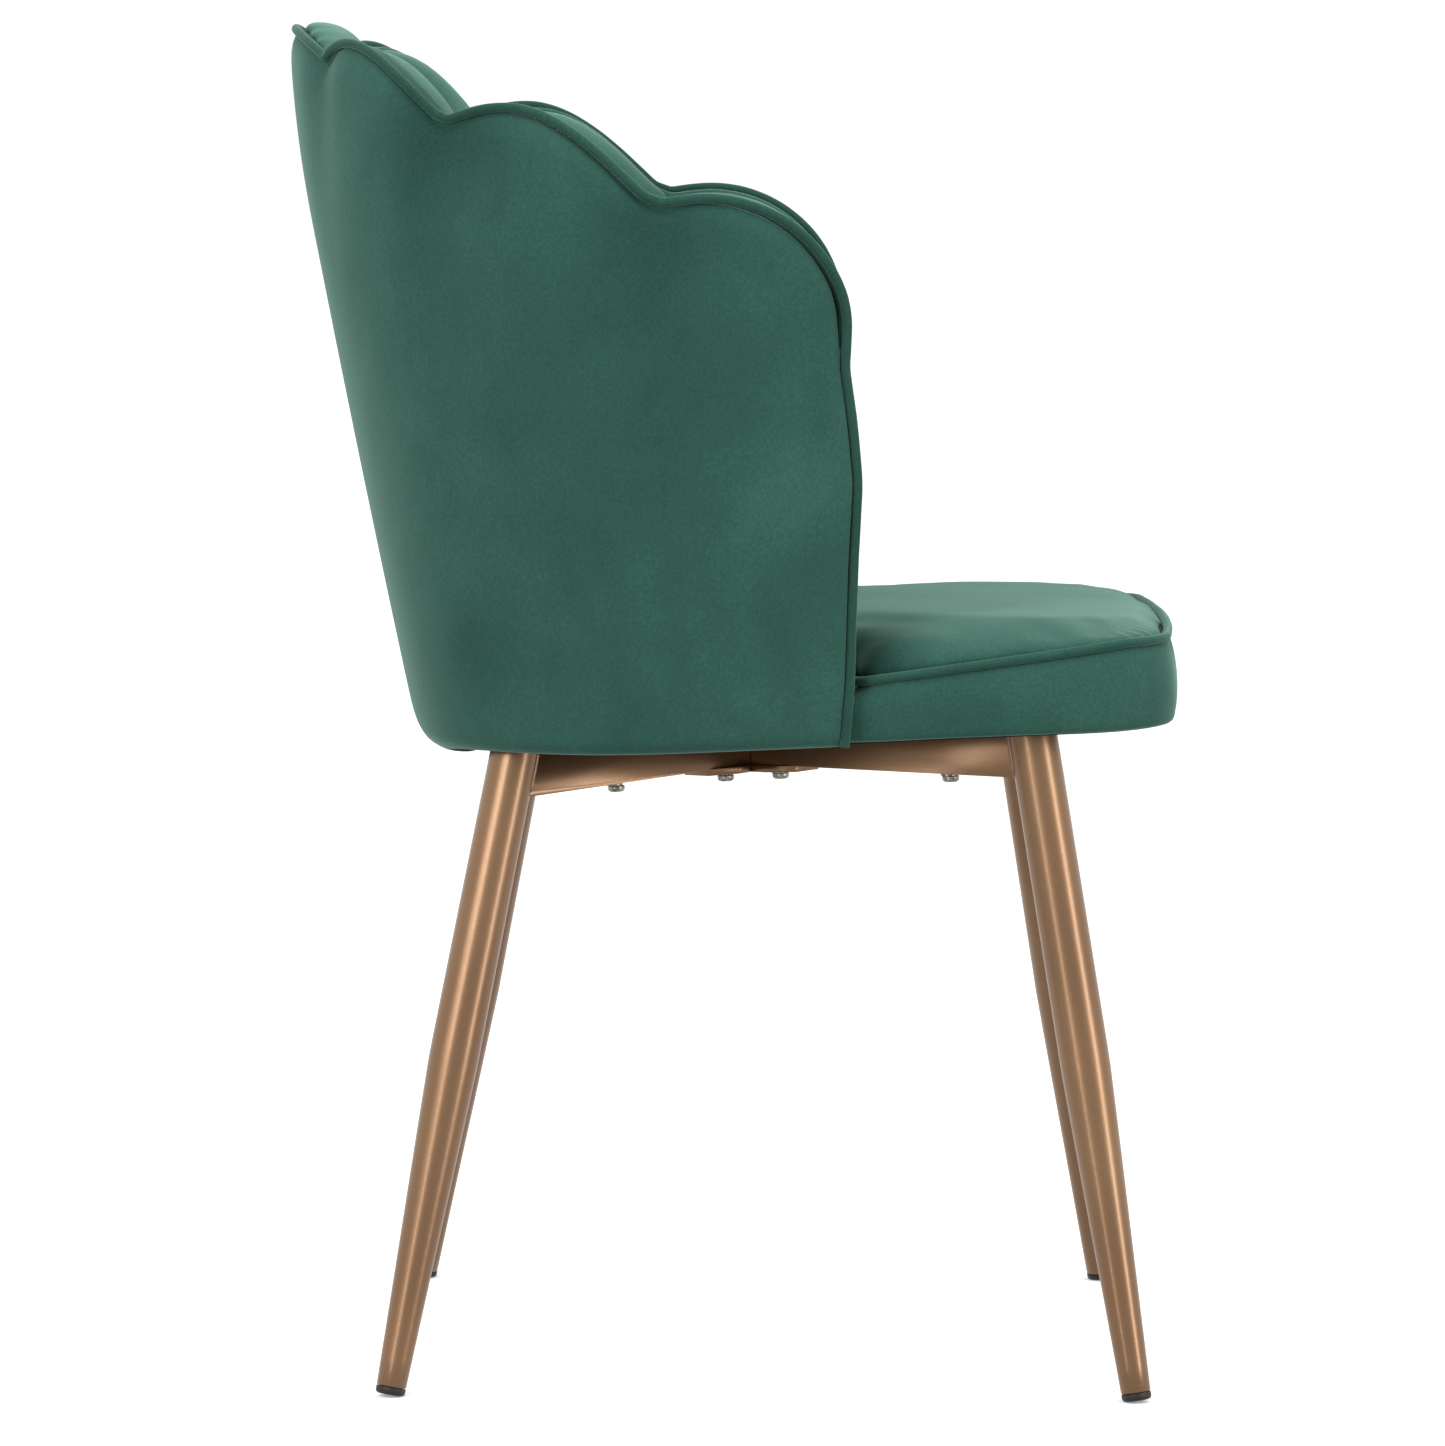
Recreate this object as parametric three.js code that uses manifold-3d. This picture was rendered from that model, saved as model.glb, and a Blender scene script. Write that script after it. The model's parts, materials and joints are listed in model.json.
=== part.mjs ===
// A shell-back dining chair: a padded tub back of seven petals, a boxed seat
// cushion on a plywood deck, and four splayed steel legs joined by a welded X.
// Millimetres, +Z up, the sitter faces -Y, the floor is Z = 0.
import * as THREE from 'three';
import { LoftGeometry } from 'three/addons/geometries/LoftGeometry.js';
import { mergeVertices } from 'three/addons/utils/BufferGeometryUtils.js';
import Module from 'manifold-3d';

const wasm = await Module();
wasm.setup();

// ---- Driving dimensions ----
const GAP = 0.3;
const SOFT_GAP = 1.6;

// The deck is the plane on top of the steel frame. It rises towards the front.
const DECK_Z = 388;
const DECK_TILT = THREE.MathUtils.degToRad(2.8);

// The tub: half width and rear reach at its low edge, and what they gain on the way up.
const TUB_LOW_Z = 385;
const TUB_RISE = 430;
const TUB_SIDE = 223.5;
const TUB_SIDE_FLARE = 21.5;
const TUB_REAR = 196.2;
const TUB_REAR_LEAN = 89.8;
const TUB_CENTRE_Y = 15;
const WING_FRONT_Y = -70;
const COVER_THICK = 6;
const SHELL_THICK = 7;
const PAD_THICK = 30;
const WELT_R = 3;

// The petals: where the valleys of the top edge lie, as a fraction of the way from
// the middle of the back to the wing front, how high they are, and each petal's rise.
const VALLEYS = [
  { at: 0.185, z: 798 },
  { at: 0.455, z: 762.5 },
  { at: 0.76, z: 714.3 },
];
const CREST_Z = 817;
const PETAL_RISE = [20.5, 25.6];
const SHOULDER = { at: 0.82, z: 632, reach: 0.178, height: 85.2 };

// The seat cushion and the plywood board under it.
const SEAT_FRONT_Y = -279.5;
const SEAT_SIDE = 212;
const SEAT_CORNER_R = 62;
const SEAT_EAR_Y = -85;
const SEAT_REAR_DEPTH = 47;
const SEAT_TOP = 79;
const BOARD_LOW = 5.7;
const BOARD_THICK = 12;
const BOARD_REAR_DEPTH = 18.5;
const CUSHION_LOW = 20;
const DUST_COVER_THICK = 0.6;

// The legs: foot and top of each axis, on the +X side.
const LEGS = [
  { name: 'rear', foot: [220.5, 204], top: [160, 134], boltAt: 125 },
  { name: 'front', foot: [225.5, -244], top: [176, -183.5], boltAt: 172 },
];
const LEG_TOP_Z = 380;
const LEG_R = 15;
const FOOT_R = 9;
const LEG_WALL = 1.5;
const TAPER_Z = 197;
const FRAME_CENTRE_Y = -9;
const ARM_WIDTH = 20;
const ARM_DEPTH = 26.5;
const ARM_WALL = 1.5;
const TAB_THICK = 3.5;
const INNER_BOLT_AT = 25;
const BOLT_R = 3;
const HEAD_R = 5.2;
const WASHER_THICK = 1.6;

// ---- Finishes ----
const finish = (color, roughness, metalness) =>
  new THREE.MeshStandardMaterial({ color, roughness, metalness });
const velvet = finish(0x3a6259, 0.85, 0);
const plywood = finish(0xb99468, 0.7, 0);
const goldPaint = finish(0xa78259, 0.38, 0.6);
const zincSteel = finish(0xb9b6b0, 0.35, 1);
const blackPlastic = finish(0x231e1a, 0.6, 0);
const blackFleece = finish(0x161616, 0.95, 0);

const chair = new THREE.Group();
const deck = new THREE.Group();
deck.position.z = DECK_Z;
deck.rotation.x = -DECK_TILT;
chair.add(deck);

function addTo(group, name, geometry, material) {
  const mesh = new THREE.Mesh(geometry, material);
  mesh.name = name;
  group.add(mesh);
  return mesh;
}

// ---- Booleans ----
function solidOf(geometry) {
  const bare = new THREE.BufferGeometry().copy(geometry);
  for (const key of Object.keys(bare.attributes)) {
    if (key !== 'position') bare.deleteAttribute(key);
  }
  const merged = mergeVertices(bare, 1e-4);
  const count = merged.attributes.position.count;
  const triVerts = merged.index
    ? new Uint32Array(merged.index.array)
    : Uint32Array.from({ length: count }, (_, i) => i);
  const vertProperties = new Float32Array(merged.attributes.position.array);
  return new wasm.Manifold(new wasm.Mesh({ numProp: 3, vertProperties, triVerts }));
}

function geometryOf(solid) {
  const mesh = solid.getMesh();
  const geometry = new THREE.BufferGeometry();
  geometry.setAttribute('position', new THREE.BufferAttribute(mesh.vertProperties, 3));
  geometry.setIndex(new THREE.BufferAttribute(mesh.triVerts, 1));
  geometry.computeVertexNormals();
  return geometry;
}

function placed(geometry, matrix) {
  return new THREE.BufferGeometry().copy(geometry).applyMatrix4(matrix);
}

// A round bar along Z from low to high.
function rod(radius, low, high, x = 0, y = 0, sides = 20) {
  return new THREE.CylinderGeometry(radius, radius, high - low, sides)
    .rotateX(Math.PI / 2)
    .translate(x, y, (low + high) / 2);
}

// ---- The back ----
const deckHeight = (y) => DECK_Z - Math.tan(DECK_TILT) * y;

// A point of the tub. `u` runs from -1 at one wing front, past 0 at the middle of the
// back, to 1 at the other; `depth` goes inwards, square to the plan curve, which is a
// superellipse, squarer at the seat than at the top.
function tub(u, z, depth = 0) {
  const rise = (z - TUB_LOW_Z) / TUB_RISE;
  const side = TUB_SIDE + TUB_SIDE_FLARE * rise;
  const upright = 0.00064 * Math.max(0, z - 700) ** 2;
  const rear = TUB_REAR + TUB_REAR_LEAN * rise - upright - TUB_CENTRE_Y;
  const power = 2.7 - 0.85 * THREE.MathUtils.clamp(rise, 0, 1);
  const bend = 1.6 * Math.hypot(side, rear) / Math.SQRT2;
  const run = Math.abs(u) * (bend + TUB_CENTRE_Y - WING_FRONT_Y);
  const angle = Math.min(run / bend, 1) * Math.PI / 2;
  const sin = Math.sin(angle);
  const cos = Math.max(Math.cos(angle), 0);
  const radius = ((sin / side) ** power + (cos / rear) ** power) ** (-1 / power);
  const across = radius * sin;
  const back = radius * cos;
  const nx = across ** (power - 1) / side ** power;
  const ny = back ** (power - 1) / rear ** power;
  const norm = Math.hypot(nx, ny);
  const x = across - depth * nx / norm;
  const y = TUB_CENTRE_Y + back - Math.max(run - bend, 0) - depth * ny / norm;
  return new THREE.Vector3(Math.sign(u) * x, y, z);
}

// Height of the petalled top edge.
function rimHeight(u) {
  const a = Math.abs(u);
  const [first, second, third] = VALLEYS;
  if (a < first.at) {
    return first.z + (CREST_Z - first.z) * Math.cos(Math.PI / 2 * a / first.at) ** 0.8;
  }
  if (a < third.at) {
    const k = a < second.at ? 0 : 1;
    const from = VALLEYS[k];
    const to = VALLEYS[k + 1];
    const t = (a - from.at) / (to.at - from.at);
    const hump = Math.sin(Math.PI * Math.min(1, t / 0.92) ** (k ? 1 : 0.8));
    return from.z + (to.z - from.z) * t + PETAL_RISE[k] * hump;
  }
  if (a < SHOULDER.at) {
    const t = (a - third.at) / (SHOULDER.at - third.at);
    return third.z + (SHOULDER.z + SHOULDER.height - third.z) * Math.sin(Math.PI / 2 * t);
  }
  const t = Math.min((a - SHOULDER.at) / SHOULDER.reach, 1);
  return SHOULDER.z + SHOULDER.height * Math.sqrt(Math.max(0, 1 - t * t));
}

// The same edge, brought in by a margin measured square to it.
const HALF_RUN = 480;
function rimInside(u, margin) {
  let height = Infinity;
  for (let k = -6; k <= 6; k++) {
    const beside = margin * k / 6;
    const there = rimHeight(Math.min(Math.abs(u + beside / HALF_RUN), 0.998));
    height = Math.min(height, there - Math.sqrt(margin ** 2 - beside ** 2));
  }
  return height;
}

// The low edge dips below the deck at the middle of the back, where it curls under.
const sternness = (u) => Math.cos(Math.min(Math.abs(u) * 1.25, 1) * Math.PI / 2) ** 2;
const coverLow = (u) => deckHeight(tub(u, DECK_Z).y) - 12 * sternness(u);
const curlRadius = (u) => 6 + 24 * sternness(u);
function curl(u, z) {
  const radius = curlRadius(u);
  const h = Math.min(z - coverLow(u) + 0.25 * radius, radius);
  return radius - Math.sqrt(radius ** 2 - (radius - h) ** 2);
}

// A slab that follows the tub between two fractions, heights and depths. `first` adds
// heights near the low edge, where a slab curls.
function tubSlab({ from, to, columns, rows, low, high, outer, inner, first = () => [] }) {
  const sections = [];
  for (let i = 0; i <= columns; i++) {
    const u = from + (to - from) * i / columns;
    const section = [];
    const heights = [low(u), ...first(u)];
    const start = heights.at(-1);
    for (let j = 1; j <= rows; j++) {
      const v = Math.sin(Math.PI / 2 * j / rows) ** 0.9;
      heights.push(start + (high(u) - start) * v);
    }
    for (const z of heights) section.push(tub(u, z, outer(u, z)));
    for (const z of heights.reverse()) section.push(tub(u, z, inner(u, z)));
    sections.push(section);
  }
  return new LoftGeometry(sections, { capStart: true, capEnd: true });
}

addTo(chair, 'back_outer_cover', tubSlab({
  from: -0.982,
  to: 0.982,
  columns: 56,
  rows: 6,
  low: coverLow,
  first: (u) => [0.2, 0.45, 0.78].map((part) => coverLow(u) + part * curlRadius(u)),
  high: (u) => rimInside(u, WELT_R + 1.6),
  outer: curl,
  inner: (u, z) => curl(u, z) + COVER_THICK,
}), velvet);

const shellOuter = COVER_THICK + 1.2;
const shellInner = shellOuter + SHELL_THICK;
const shellLow = (u) => coverLow(u) + curlRadius(u);

const shell = tubSlab({
  from: -0.97,
  to: 0.97,
  columns: 48,
  rows: 7,
  low: shellLow,
  high: (u) => rimInside(u, 11),
  outer: () => shellOuter,
  inner: () => shellInner,
});

// Seven channel pads stand side by side on the shell, above the brackets. Each swells
// towards its middle and rounds over at the top, a little higher than the welt.
const PAD_FOOT = 42;
const padEdges = [-1, ...VALLEYS.map((v) => -v.at).reverse(), ...VALLEYS.map((v) => v.at), 1];
const padNames = ['wing_right', 'side_right', 'shoulder_right', 'centre'];
padNames.push('shoulder_left', 'side_left', 'wing_left');
padNames.forEach((name, k) => {
  const seam = 0.002;
  const from = padEdges[k] + seam;
  const to = padEdges[k + 1] - seam;
  const crown = (u) => Math.sqrt(Math.max(0, 1 - (2 * (u - from) / (to - from) - 1) ** 2));
  const high = (u) => rimHeight(u) - 2 + 5 * crown(u);
  const roll = (u, z) => Math.sqrt(Math.max(0, 1 - Math.max(0, 1 - (high(u) - z) / 26) ** 2));
  addTo(chair, `back_pad_${name}`, tubSlab({
    from,
    to,
    columns: 8,
    rows: 7,
    low: (u) => deckHeight(tub(u, DECK_Z).y) + PAD_FOOT,
    high,
    outer: () => shellInner + SOFT_GAP,
    inner: (u, z) => shellInner + SOFT_GAP + 2 + (PAD_THICK - 2) * (0.45 + 0.55 * crown(u)) * roll(u, z),
  }), velvet);
});

// The welt is sewn between the outer cover and the pads, up one wing, over the petals
// and down the other wing.
function tubeAlong(points, radius, steps, sides = 4) {
  const path = new THREE.CatmullRomCurve3(points);
  const circle = new THREE.Shape();
  circle.absarc(0, 0, radius, 0, Math.PI * 2);
  return new THREE.ExtrudeGeometry(circle, {
    extrudePath: path,
    steps,
    curveSegments: sides,
    bevelEnabled: false,
  });
}

const weltDepth = 4;
const weltHalf = [];
for (let i = 0; i <= 28; i++) weltHalf.push(tub(i / 29, rimHeight(i / 29), weltDepth));
for (const z of [628, 600, 560, 500, 440, coverLow(1)]) {
  weltHalf.push(tub(1, z, weltDepth).add(new THREE.Vector3(0, -3.5, 0)));
}
const mirrored = weltHalf.slice(1).map((p) => new THREE.Vector3(-p.x, p.y, p.z)).reverse();
addTo(chair, 'back_welt', tubeAlong([...mirrored, ...weltHalf], WELT_R, 116), velvet);

// ---- The angle brackets that hold the back to the seat board ----
const BRACKET = { width: 30, foot: 32, wall: 2.5, tall: 36, low: 2.9, hole: 2.4 };
const BRACKETS = [
  { name: 'rear', u: 0 },
  { name: 'left', u: 0.74 },
  { name: 'right', u: -0.74 },
];
const WALL_SCREW_AT = 26;
const FOOT_SCREW_AT = 21;
const deckNormal = new THREE.Vector3(0, Math.sin(DECK_TILT), Math.cos(DECK_TILT));
deck.updateMatrix();
const toDeck = deck.matrix.clone().invert();

// Bracket frame: X along the shell, Y inwards over the deck, Z square to the deck.
function bracketFrame(u) {
  const guess = tub(u, DECK_Z, shellInner + SOFT_GAP);
  const origin = guess.setZ(deckHeight(guess.y));
  const inward = tub(u, DECK_Z, shellInner + 20).sub(tub(u, DECK_Z, shellInner));
  inward.addScaledVector(deckNormal, -inward.dot(deckNormal)).normalize();
  const along = new THREE.Vector3().crossVectors(inward, deckNormal);
  const frame = new THREE.Matrix4().makeBasis(along, inward, deckNormal).setPosition(origin);
  const climb = tub(u, DECK_Z + 40, shellInner).sub(tub(u, DECK_Z, shellInner));
  return { frame, lean: -climb.dot(inward) / climb.dot(deckNormal) };
}

const screwShape = (length) => new THREE.LatheGeometry([
  new THREE.Vector2(0, -BRACKET.wall - 1.7),
  new THREE.Vector2(2.6, -BRACKET.wall - 1.5),
  new THREE.Vector2(4, -BRACKET.wall - GAP),
  new THREE.Vector2(2, -BRACKET.wall - GAP),
  new THREE.Vector2(2, length - 2),
  new THREE.Vector2(0, length),
], 12).rotateX(Math.PI / 2);

let shellSolid = solidOf(shell);
const boardHoles = [];
for (const { name, u } of BRACKETS) {
  const { frame, lean } = bracketFrame(u);
  const { width, foot, wall, tall, low, hole } = BRACKET;
  const profile = new THREE.Shape([
    new THREE.Vector2(0, low),
    new THREE.Vector2(foot, low),
    new THREE.Vector2(foot, low + wall),
    new THREE.Vector2(wall, low + wall),
    new THREE.Vector2(wall - lean * tall, low + tall),
    new THREE.Vector2(-lean * tall, low + tall),
  ]);
  const strip = new THREE.ExtrudeGeometry(profile, { depth: width, bevelEnabled: false });
  const upright = new THREE.Matrix4().makeBasis(
    new THREE.Vector3(0, 1, 0),
    new THREE.Vector3(0, 0, 1),
    new THREE.Vector3(1, 0, 0),
  ).setPosition(-width / 2, 0, 0);
  const wallScrew = new THREE.Matrix4()
    .makeTranslation(0, -lean * (WALL_SCREW_AT - low), WALL_SCREW_AT)
    .multiply(new THREE.Matrix4().makeRotationX(Math.PI / 2 + Math.atan(lean)));
  const footScrew = new THREE.Matrix4().makeTranslation(0, FOOT_SCREW_AT, low + wall);
  const bore = rod(hole, -12, 7, 0, 0, 12);
  const plate = solidOf(placed(strip, upright))
    .subtract(solidOf(placed(bore, wallScrew)))
    .subtract(solidOf(placed(rod(hole, -wall - 1, 1, 0, 0, 12), footScrew)));
  addTo(chair, `bracket_${name}`, placed(geometryOf(plate), frame), zincSteel);

  const wallPlace = frame.clone().multiply(wallScrew);
  const footPlace = frame.clone().multiply(footScrew);
  addTo(chair, `bracket_screw_wall_${name}`, placed(screwShape(6.5), wallPlace), zincSteel);
  addTo(chair, `bracket_screw_seat_${name}`, placed(screwShape(10), footPlace), zincSteel);
  shellSolid = shellSolid.subtract(solidOf(placed(bore, wallPlace)));
  boardHoles.push(placed(rod(hole, -1, 12, 0, 0, 12), toDeck.clone().multiply(footPlace)));
}
addTo(chair, 'back_shell_plywood', geometryOf(shellSolid), plywood);

// ---- The steel frame: four legs, four arms, eight bolts ----
const zAxis = new THREE.Vector3(0, 0, 1);
const boltSpots = [];
for (const side of [1, -1]) {
  for (const leg of LEGS) {
    const name = `${leg.name}_${side > 0 ? 'left' : 'right'}`;
    const foot = new THREE.Vector3(side * leg.foot[0], leg.foot[1], 0);
    const top = new THREE.Vector3(side * leg.top[0], leg.top[1], LEG_TOP_Z);
    const axis = top.clone().sub(foot).normalize();
    const place = new THREE.Matrix4()
      .makeRotationFromQuaternion(new THREE.Quaternion().setFromUnitVectors(zAxis, axis))
      .setPosition(foot);

    // The leg is a plain tube whose lower half is swaged down to the foot.
    const low = 5.3;
    const swage = TAPER_Z / axis.z;
    const high = (deckHeight(leg.top[1]) - 10) / axis.z;
    const tube = new THREE.LatheGeometry([
      new THREE.Vector2(FOOT_R, low),
      new THREE.Vector2(LEG_R, swage),
      new THREE.Vector2(LEG_R, high),
      new THREE.Vector2(LEG_R - LEG_WALL, high),
      new THREE.Vector2(LEG_R - LEG_WALL, swage),
      new THREE.Vector2(FOOT_R - LEG_WALL, low),
      new THREE.Vector2(FOOT_R, low),
    ], 28).rotateX(Math.PI / 2);
    addTo(chair, `leg_${name}`, placed(tube, place), goldPaint);

    // The foot cap plugs the tube. Its inner edge is worn flat where it stands.
    const plugR = FOOT_R - LEG_WALL - GAP;
    const cap = new THREE.LatheGeometry([
      new THREE.Vector2(0, 0.5),
      new THREE.Vector2(FOOT_R - 1.6, 0.5),
      new THREE.Vector2(FOOT_R - 0.5, 1),
      new THREE.Vector2(FOOT_R, 2),
      new THREE.Vector2(FOOT_R, low - GAP),
      new THREE.Vector2(plugR, low - GAP),
      new THREE.Vector2(plugR, low + 10),
      new THREE.Vector2(0, low + 10),
    ], 28).rotateX(Math.PI / 2);
    const ground = new THREE.BoxGeometry(80, 80, 40).translate(foot.x, foot.y, -20);
    const standing = solidOf(placed(cap, place)).subtract(solidOf(ground));
    addTo(chair, `foot_cap_${name}`, geometryOf(standing), blackPlastic);

    // The arm is a flat-sided tube from the middle of the frame to the leg, with a
    // wider tab welded under its inner end. Everything here is in the deck's frame.
    const end = top.clone().applyMatrix4(toDeck);
    const reach = Math.hypot(end.x, end.y - FRAME_CENTRE_Y);
    const turn = Math.atan2(end.y - FRAME_CENTRE_Y, end.x);
    const along = new THREE.Matrix4().makeRotationZ(turn).setPosition(0, FRAME_CENTRE_Y, 0);
    const back = 26;
    const bar = new THREE.BoxGeometry(reach + back, ARM_WIDTH, ARM_DEPTH)
      .translate((reach - back) / 2, 0, -ARM_DEPTH / 2);
    const hollow = new THREE.BoxGeometry(
      reach + back + 2,
      ARM_WIDTH - 2 * ARM_WALL,
      ARM_DEPTH - 2 * ARM_WALL,
    ).translate((reach - back) / 2, 0, -ARM_DEPTH / 2);
    const lobe = new THREE.Shape([
      new THREE.Vector2(-back, -19),
      new THREE.Vector2(32, -19),
      new THREE.Vector2(50, -ARM_WIDTH / 2),
      new THREE.Vector2(50, ARM_WIDTH / 2),
      new THREE.Vector2(32, 19),
      new THREE.Vector2(-back, 19),
    ]);
    const tab = new THREE.ExtrudeGeometry(lobe, { depth: TAB_THICK + 0.5, bevelEnabled: false })
      .translate(0, 0, -ARM_DEPTH - TAB_THICK);
    const quarter = new THREE.BoxGeometry(400, 400, 100).translate(
      side * (200 + GAP / 2),
      FRAME_CENTRE_Y + Math.sign(end.y - FRAME_CENTRE_Y) * (200 + GAP / 2),
      0,
    );
    let arm = solidOf(placed(bar, along))
      .subtract(solidOf(placed(hollow, along)))
      .add(solidOf(placed(tab, along)))
      .intersect(solidOf(quarter))
      .subtract(solidOf(placed(
        rod(LEG_R + GAP, 250, 470, 0, 0, 28),
        toDeck.clone().multiply(place),
      )));
    [INNER_BOLT_AT, leg.boltAt].forEach((distance, k) => {
      const spot = new THREE.Vector3(distance, 0, 0).applyMatrix4(along);
      const under = -ARM_DEPTH - (k ? 0 : TAB_THICK);
      arm = arm.subtract(solidOf(rod(BOLT_R + 0.5, -60, 10, spot.x, spot.y, 16)));
      boltSpots.push({ name: `${name}_${k ? 'outer' : 'inner'}`, x: spot.x, y: spot.y, under });
    });
    addTo(deck, `frame_arm_${name}`, geometryOf(arm), goldPaint);
  }
}

const boardTop = BOARD_LOW + BOARD_THICK;
for (const { name, x, y, under } of boltSpots) {
  const seatOfHead = under - WASHER_THICK - 2 * GAP;
  const bolt = new THREE.LatheGeometry([
    new THREE.Vector2(0, -2),
    new THREE.Vector2(2.1, -2),
    new THREE.Vector2(2.1, -3.8),
    new THREE.Vector2(3.4, -3.8),
    new THREE.Vector2(HEAD_R, -2.4),
    new THREE.Vector2(HEAD_R, 0),
    new THREE.Vector2(BOLT_R, 0),
    new THREE.Vector2(BOLT_R, boardTop + 1 - seatOfHead),
    new THREE.Vector2(0, boardTop + 1 - seatOfHead),
  ], 14).rotateX(Math.PI / 2).translate(x, y, seatOfHead);
  addTo(deck, `bolt_${name}`, bolt, zincSteel);

  const ring = new THREE.Shape();
  ring.absarc(0, 0, HEAD_R - 0.4, 0.15, Math.PI * 2 - 0.15, false);
  ring.absarc(0, 0, BOLT_R + GAP, Math.PI * 2 - 0.25, 0.25, true);
  const washer = new THREE.ExtrudeGeometry(ring, {
    depth: WASHER_THICK,
    curveSegments: 14,
    bevelEnabled: false,
  }).translate(x, y, under - GAP - WASHER_THICK);
  addTo(deck, `spring_washer_${name}`, washer, zincSteel);

  const nut = new THREE.LatheGeometry([
    new THREE.Vector2(4, BOARD_LOW + 4),
    new THREE.Vector2(4, boardTop + GAP),
    new THREE.Vector2(9, boardTop + GAP),
    new THREE.Vector2(9, boardTop + GAP + 1.2),
    new THREE.Vector2(BOLT_R + GAP, boardTop + GAP + 1.2),
    new THREE.Vector2(BOLT_R + GAP, BOARD_LOW + 4),
    new THREE.Vector2(4, BOARD_LOW + 4),
  ], 14).rotateX(Math.PI / 2).translate(x, y, 0);
  addTo(deck, `tee_nut_${name}`, nut, zincSteel);
}

// ---- The seat ----
// Half of the seat's plan, from the middle of the front to the middle of the rear: a
// bowed front, a round corner, an ear that stops at the wing, and a narrower rear part
// between the wings.
function seatPlan(inset, rearDepth) {
  const half = [];
  const cornerX = SEAT_SIDE - SEAT_CORNER_R;
  const bow = 6;
  for (let i = 0; i < 4; i++) {
    half.push(new THREE.Vector2(cornerX * i / 4, SEAT_FRONT_Y + bow * (i / 4) ** 2 + inset));
  }
  const cornerY = SEAT_FRONT_Y + bow + SEAT_CORNER_R;
  for (let i = 0; i <= 7; i++) {
    const a = -Math.PI / 2 * (1 - i / 7);
    const radius = SEAT_CORNER_R - inset;
    half.push(new THREE.Vector2(cornerX + radius * Math.cos(a), cornerY + radius * Math.sin(a)));
  }
  half.push(new THREE.Vector2(SEAT_SIDE - inset, SEAT_EAR_Y - inset));
  const rear = (u) => tub(u, DECK_Z, rearDepth + inset);
  half.push(new THREE.Vector2(rear(1).x, SEAT_EAR_Y - inset));
  for (let i = 13; i >= 0; i--) half.push(new THREE.Vector2(rear(i / 13.5).x, rear(i / 13.5).y));
  const other = half.slice(1, -1).reverse().map((p) => new THREE.Vector2(-p.x, p.y));
  return [...half, ...other];
}

let board = solidOf(new THREE.ExtrudeGeometry(
  new THREE.Shape(seatPlan(8, BOARD_REAR_DEPTH - 8)),
  { depth: BOARD_THICK, bevelEnabled: false },
).translate(0, 0, BOARD_LOW));
for (const { x, y } of boltSpots) board = board.subtract(solidOf(rod(4.4, 0, 30, x, y, 14)));
for (const hole of boardHoles) board = board.subtract(solidOf(hole));
addTo(deck, 'seat_board_plywood', geometryOf(board), plywood);

const fleece = new THREE.Shape(seatPlan(14, BOARD_REAR_DEPTH - 8));
for (const { x, y } of boltSpots) {
  const hole = new THREE.Path();
  hole.absarc(x, y, BOLT_R + 0.6, 0, Math.PI * 2);
  fleece.holes.push(hole);
}
addTo(deck, 'dust_cover', new THREE.ExtrudeGeometry(fleece, {
  depth: DUST_COVER_THICK,
  curveSegments: 7,
  bevelEnabled: false,
}).translate(0, 0, GAP), blackFleece);

// The welt round the seat's top edge climbs from the wings to the front corners.
const weltClimb = (y) => THREE.MathUtils.clamp((SEAT_EAR_Y - y) / 165, 0, 1) * 17 - 9;
const WELT_LEVEL = 47;
const cushionRings = [
  { level: CUSHION_LOW, inset: 6, climb: 0 },
  { level: 24, inset: 2, climb: 0 },
  { level: 34, inset: 0, climb: 0.4 },
  { level: 41, inset: 3, climb: 1 },
  { level: WELT_LEVEL - 2, inset: 7, climb: 1 },
  { level: WELT_LEVEL + 4, inset: 7, climb: 1 },
  { level: 59, inset: 11, climb: 0.8, scale: 0.985 },
  { level: 67, inset: 11, climb: 0.5, scale: 0.93 },
  { level: 73.5, inset: 11, climb: 0.2, scale: 0.8 },
  { level: 77.5, inset: 11, climb: 0, scale: 0.6 },
  { level: SEAT_TOP, inset: 11, climb: 0, scale: 0.35 },
];
const seatMiddleY = -80;
const rings = cushionRings.map(({ level, inset, climb, scale = 1 }) =>
  seatPlan(inset, SEAT_REAR_DEPTH).map((p) => new THREE.Vector3(
    p.x * scale,
    seatMiddleY + (p.y - seatMiddleY) * scale,
    level + climb * weltClimb(p.y),
  )));
addTo(deck, 'seat_cushion', new LoftGeometry(rings, { capStart: true, capEnd: true }), velvet);

const sewn = seatPlan(3.6, SEAT_REAR_DEPTH).slice(0, 13);
const weltRun = sewn.map((p) => new THREE.Vector3(p.x, p.y, WELT_LEVEL + weltClimb(p.y)));
const weltLeft = weltRun.slice(1).map((p) => new THREE.Vector3(-p.x, p.y, p.z)).reverse();
addTo(deck, 'seat_welt', tubeAlong([...weltLeft, ...weltRun], WELT_R, 60), velvet);

export default chair;
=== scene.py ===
# %% [markdown]
# # A shell-back dining chair in green velvet
# The chair has a tub back sewn as seven petals, a boxed seat cushion, and four gold
# painted steel legs on an X-shaped frame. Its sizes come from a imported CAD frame. This
# lesson builds what the eye sees on that frame: cloth, piping, paint, plastic and zinc.

# %% The frame and the size it starts from
import bmesh
import bpy
import json
import math
import numpy as np
from mathutils import Matrix, Vector, noise
from mathutils.kdtree import KDTree

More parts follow.
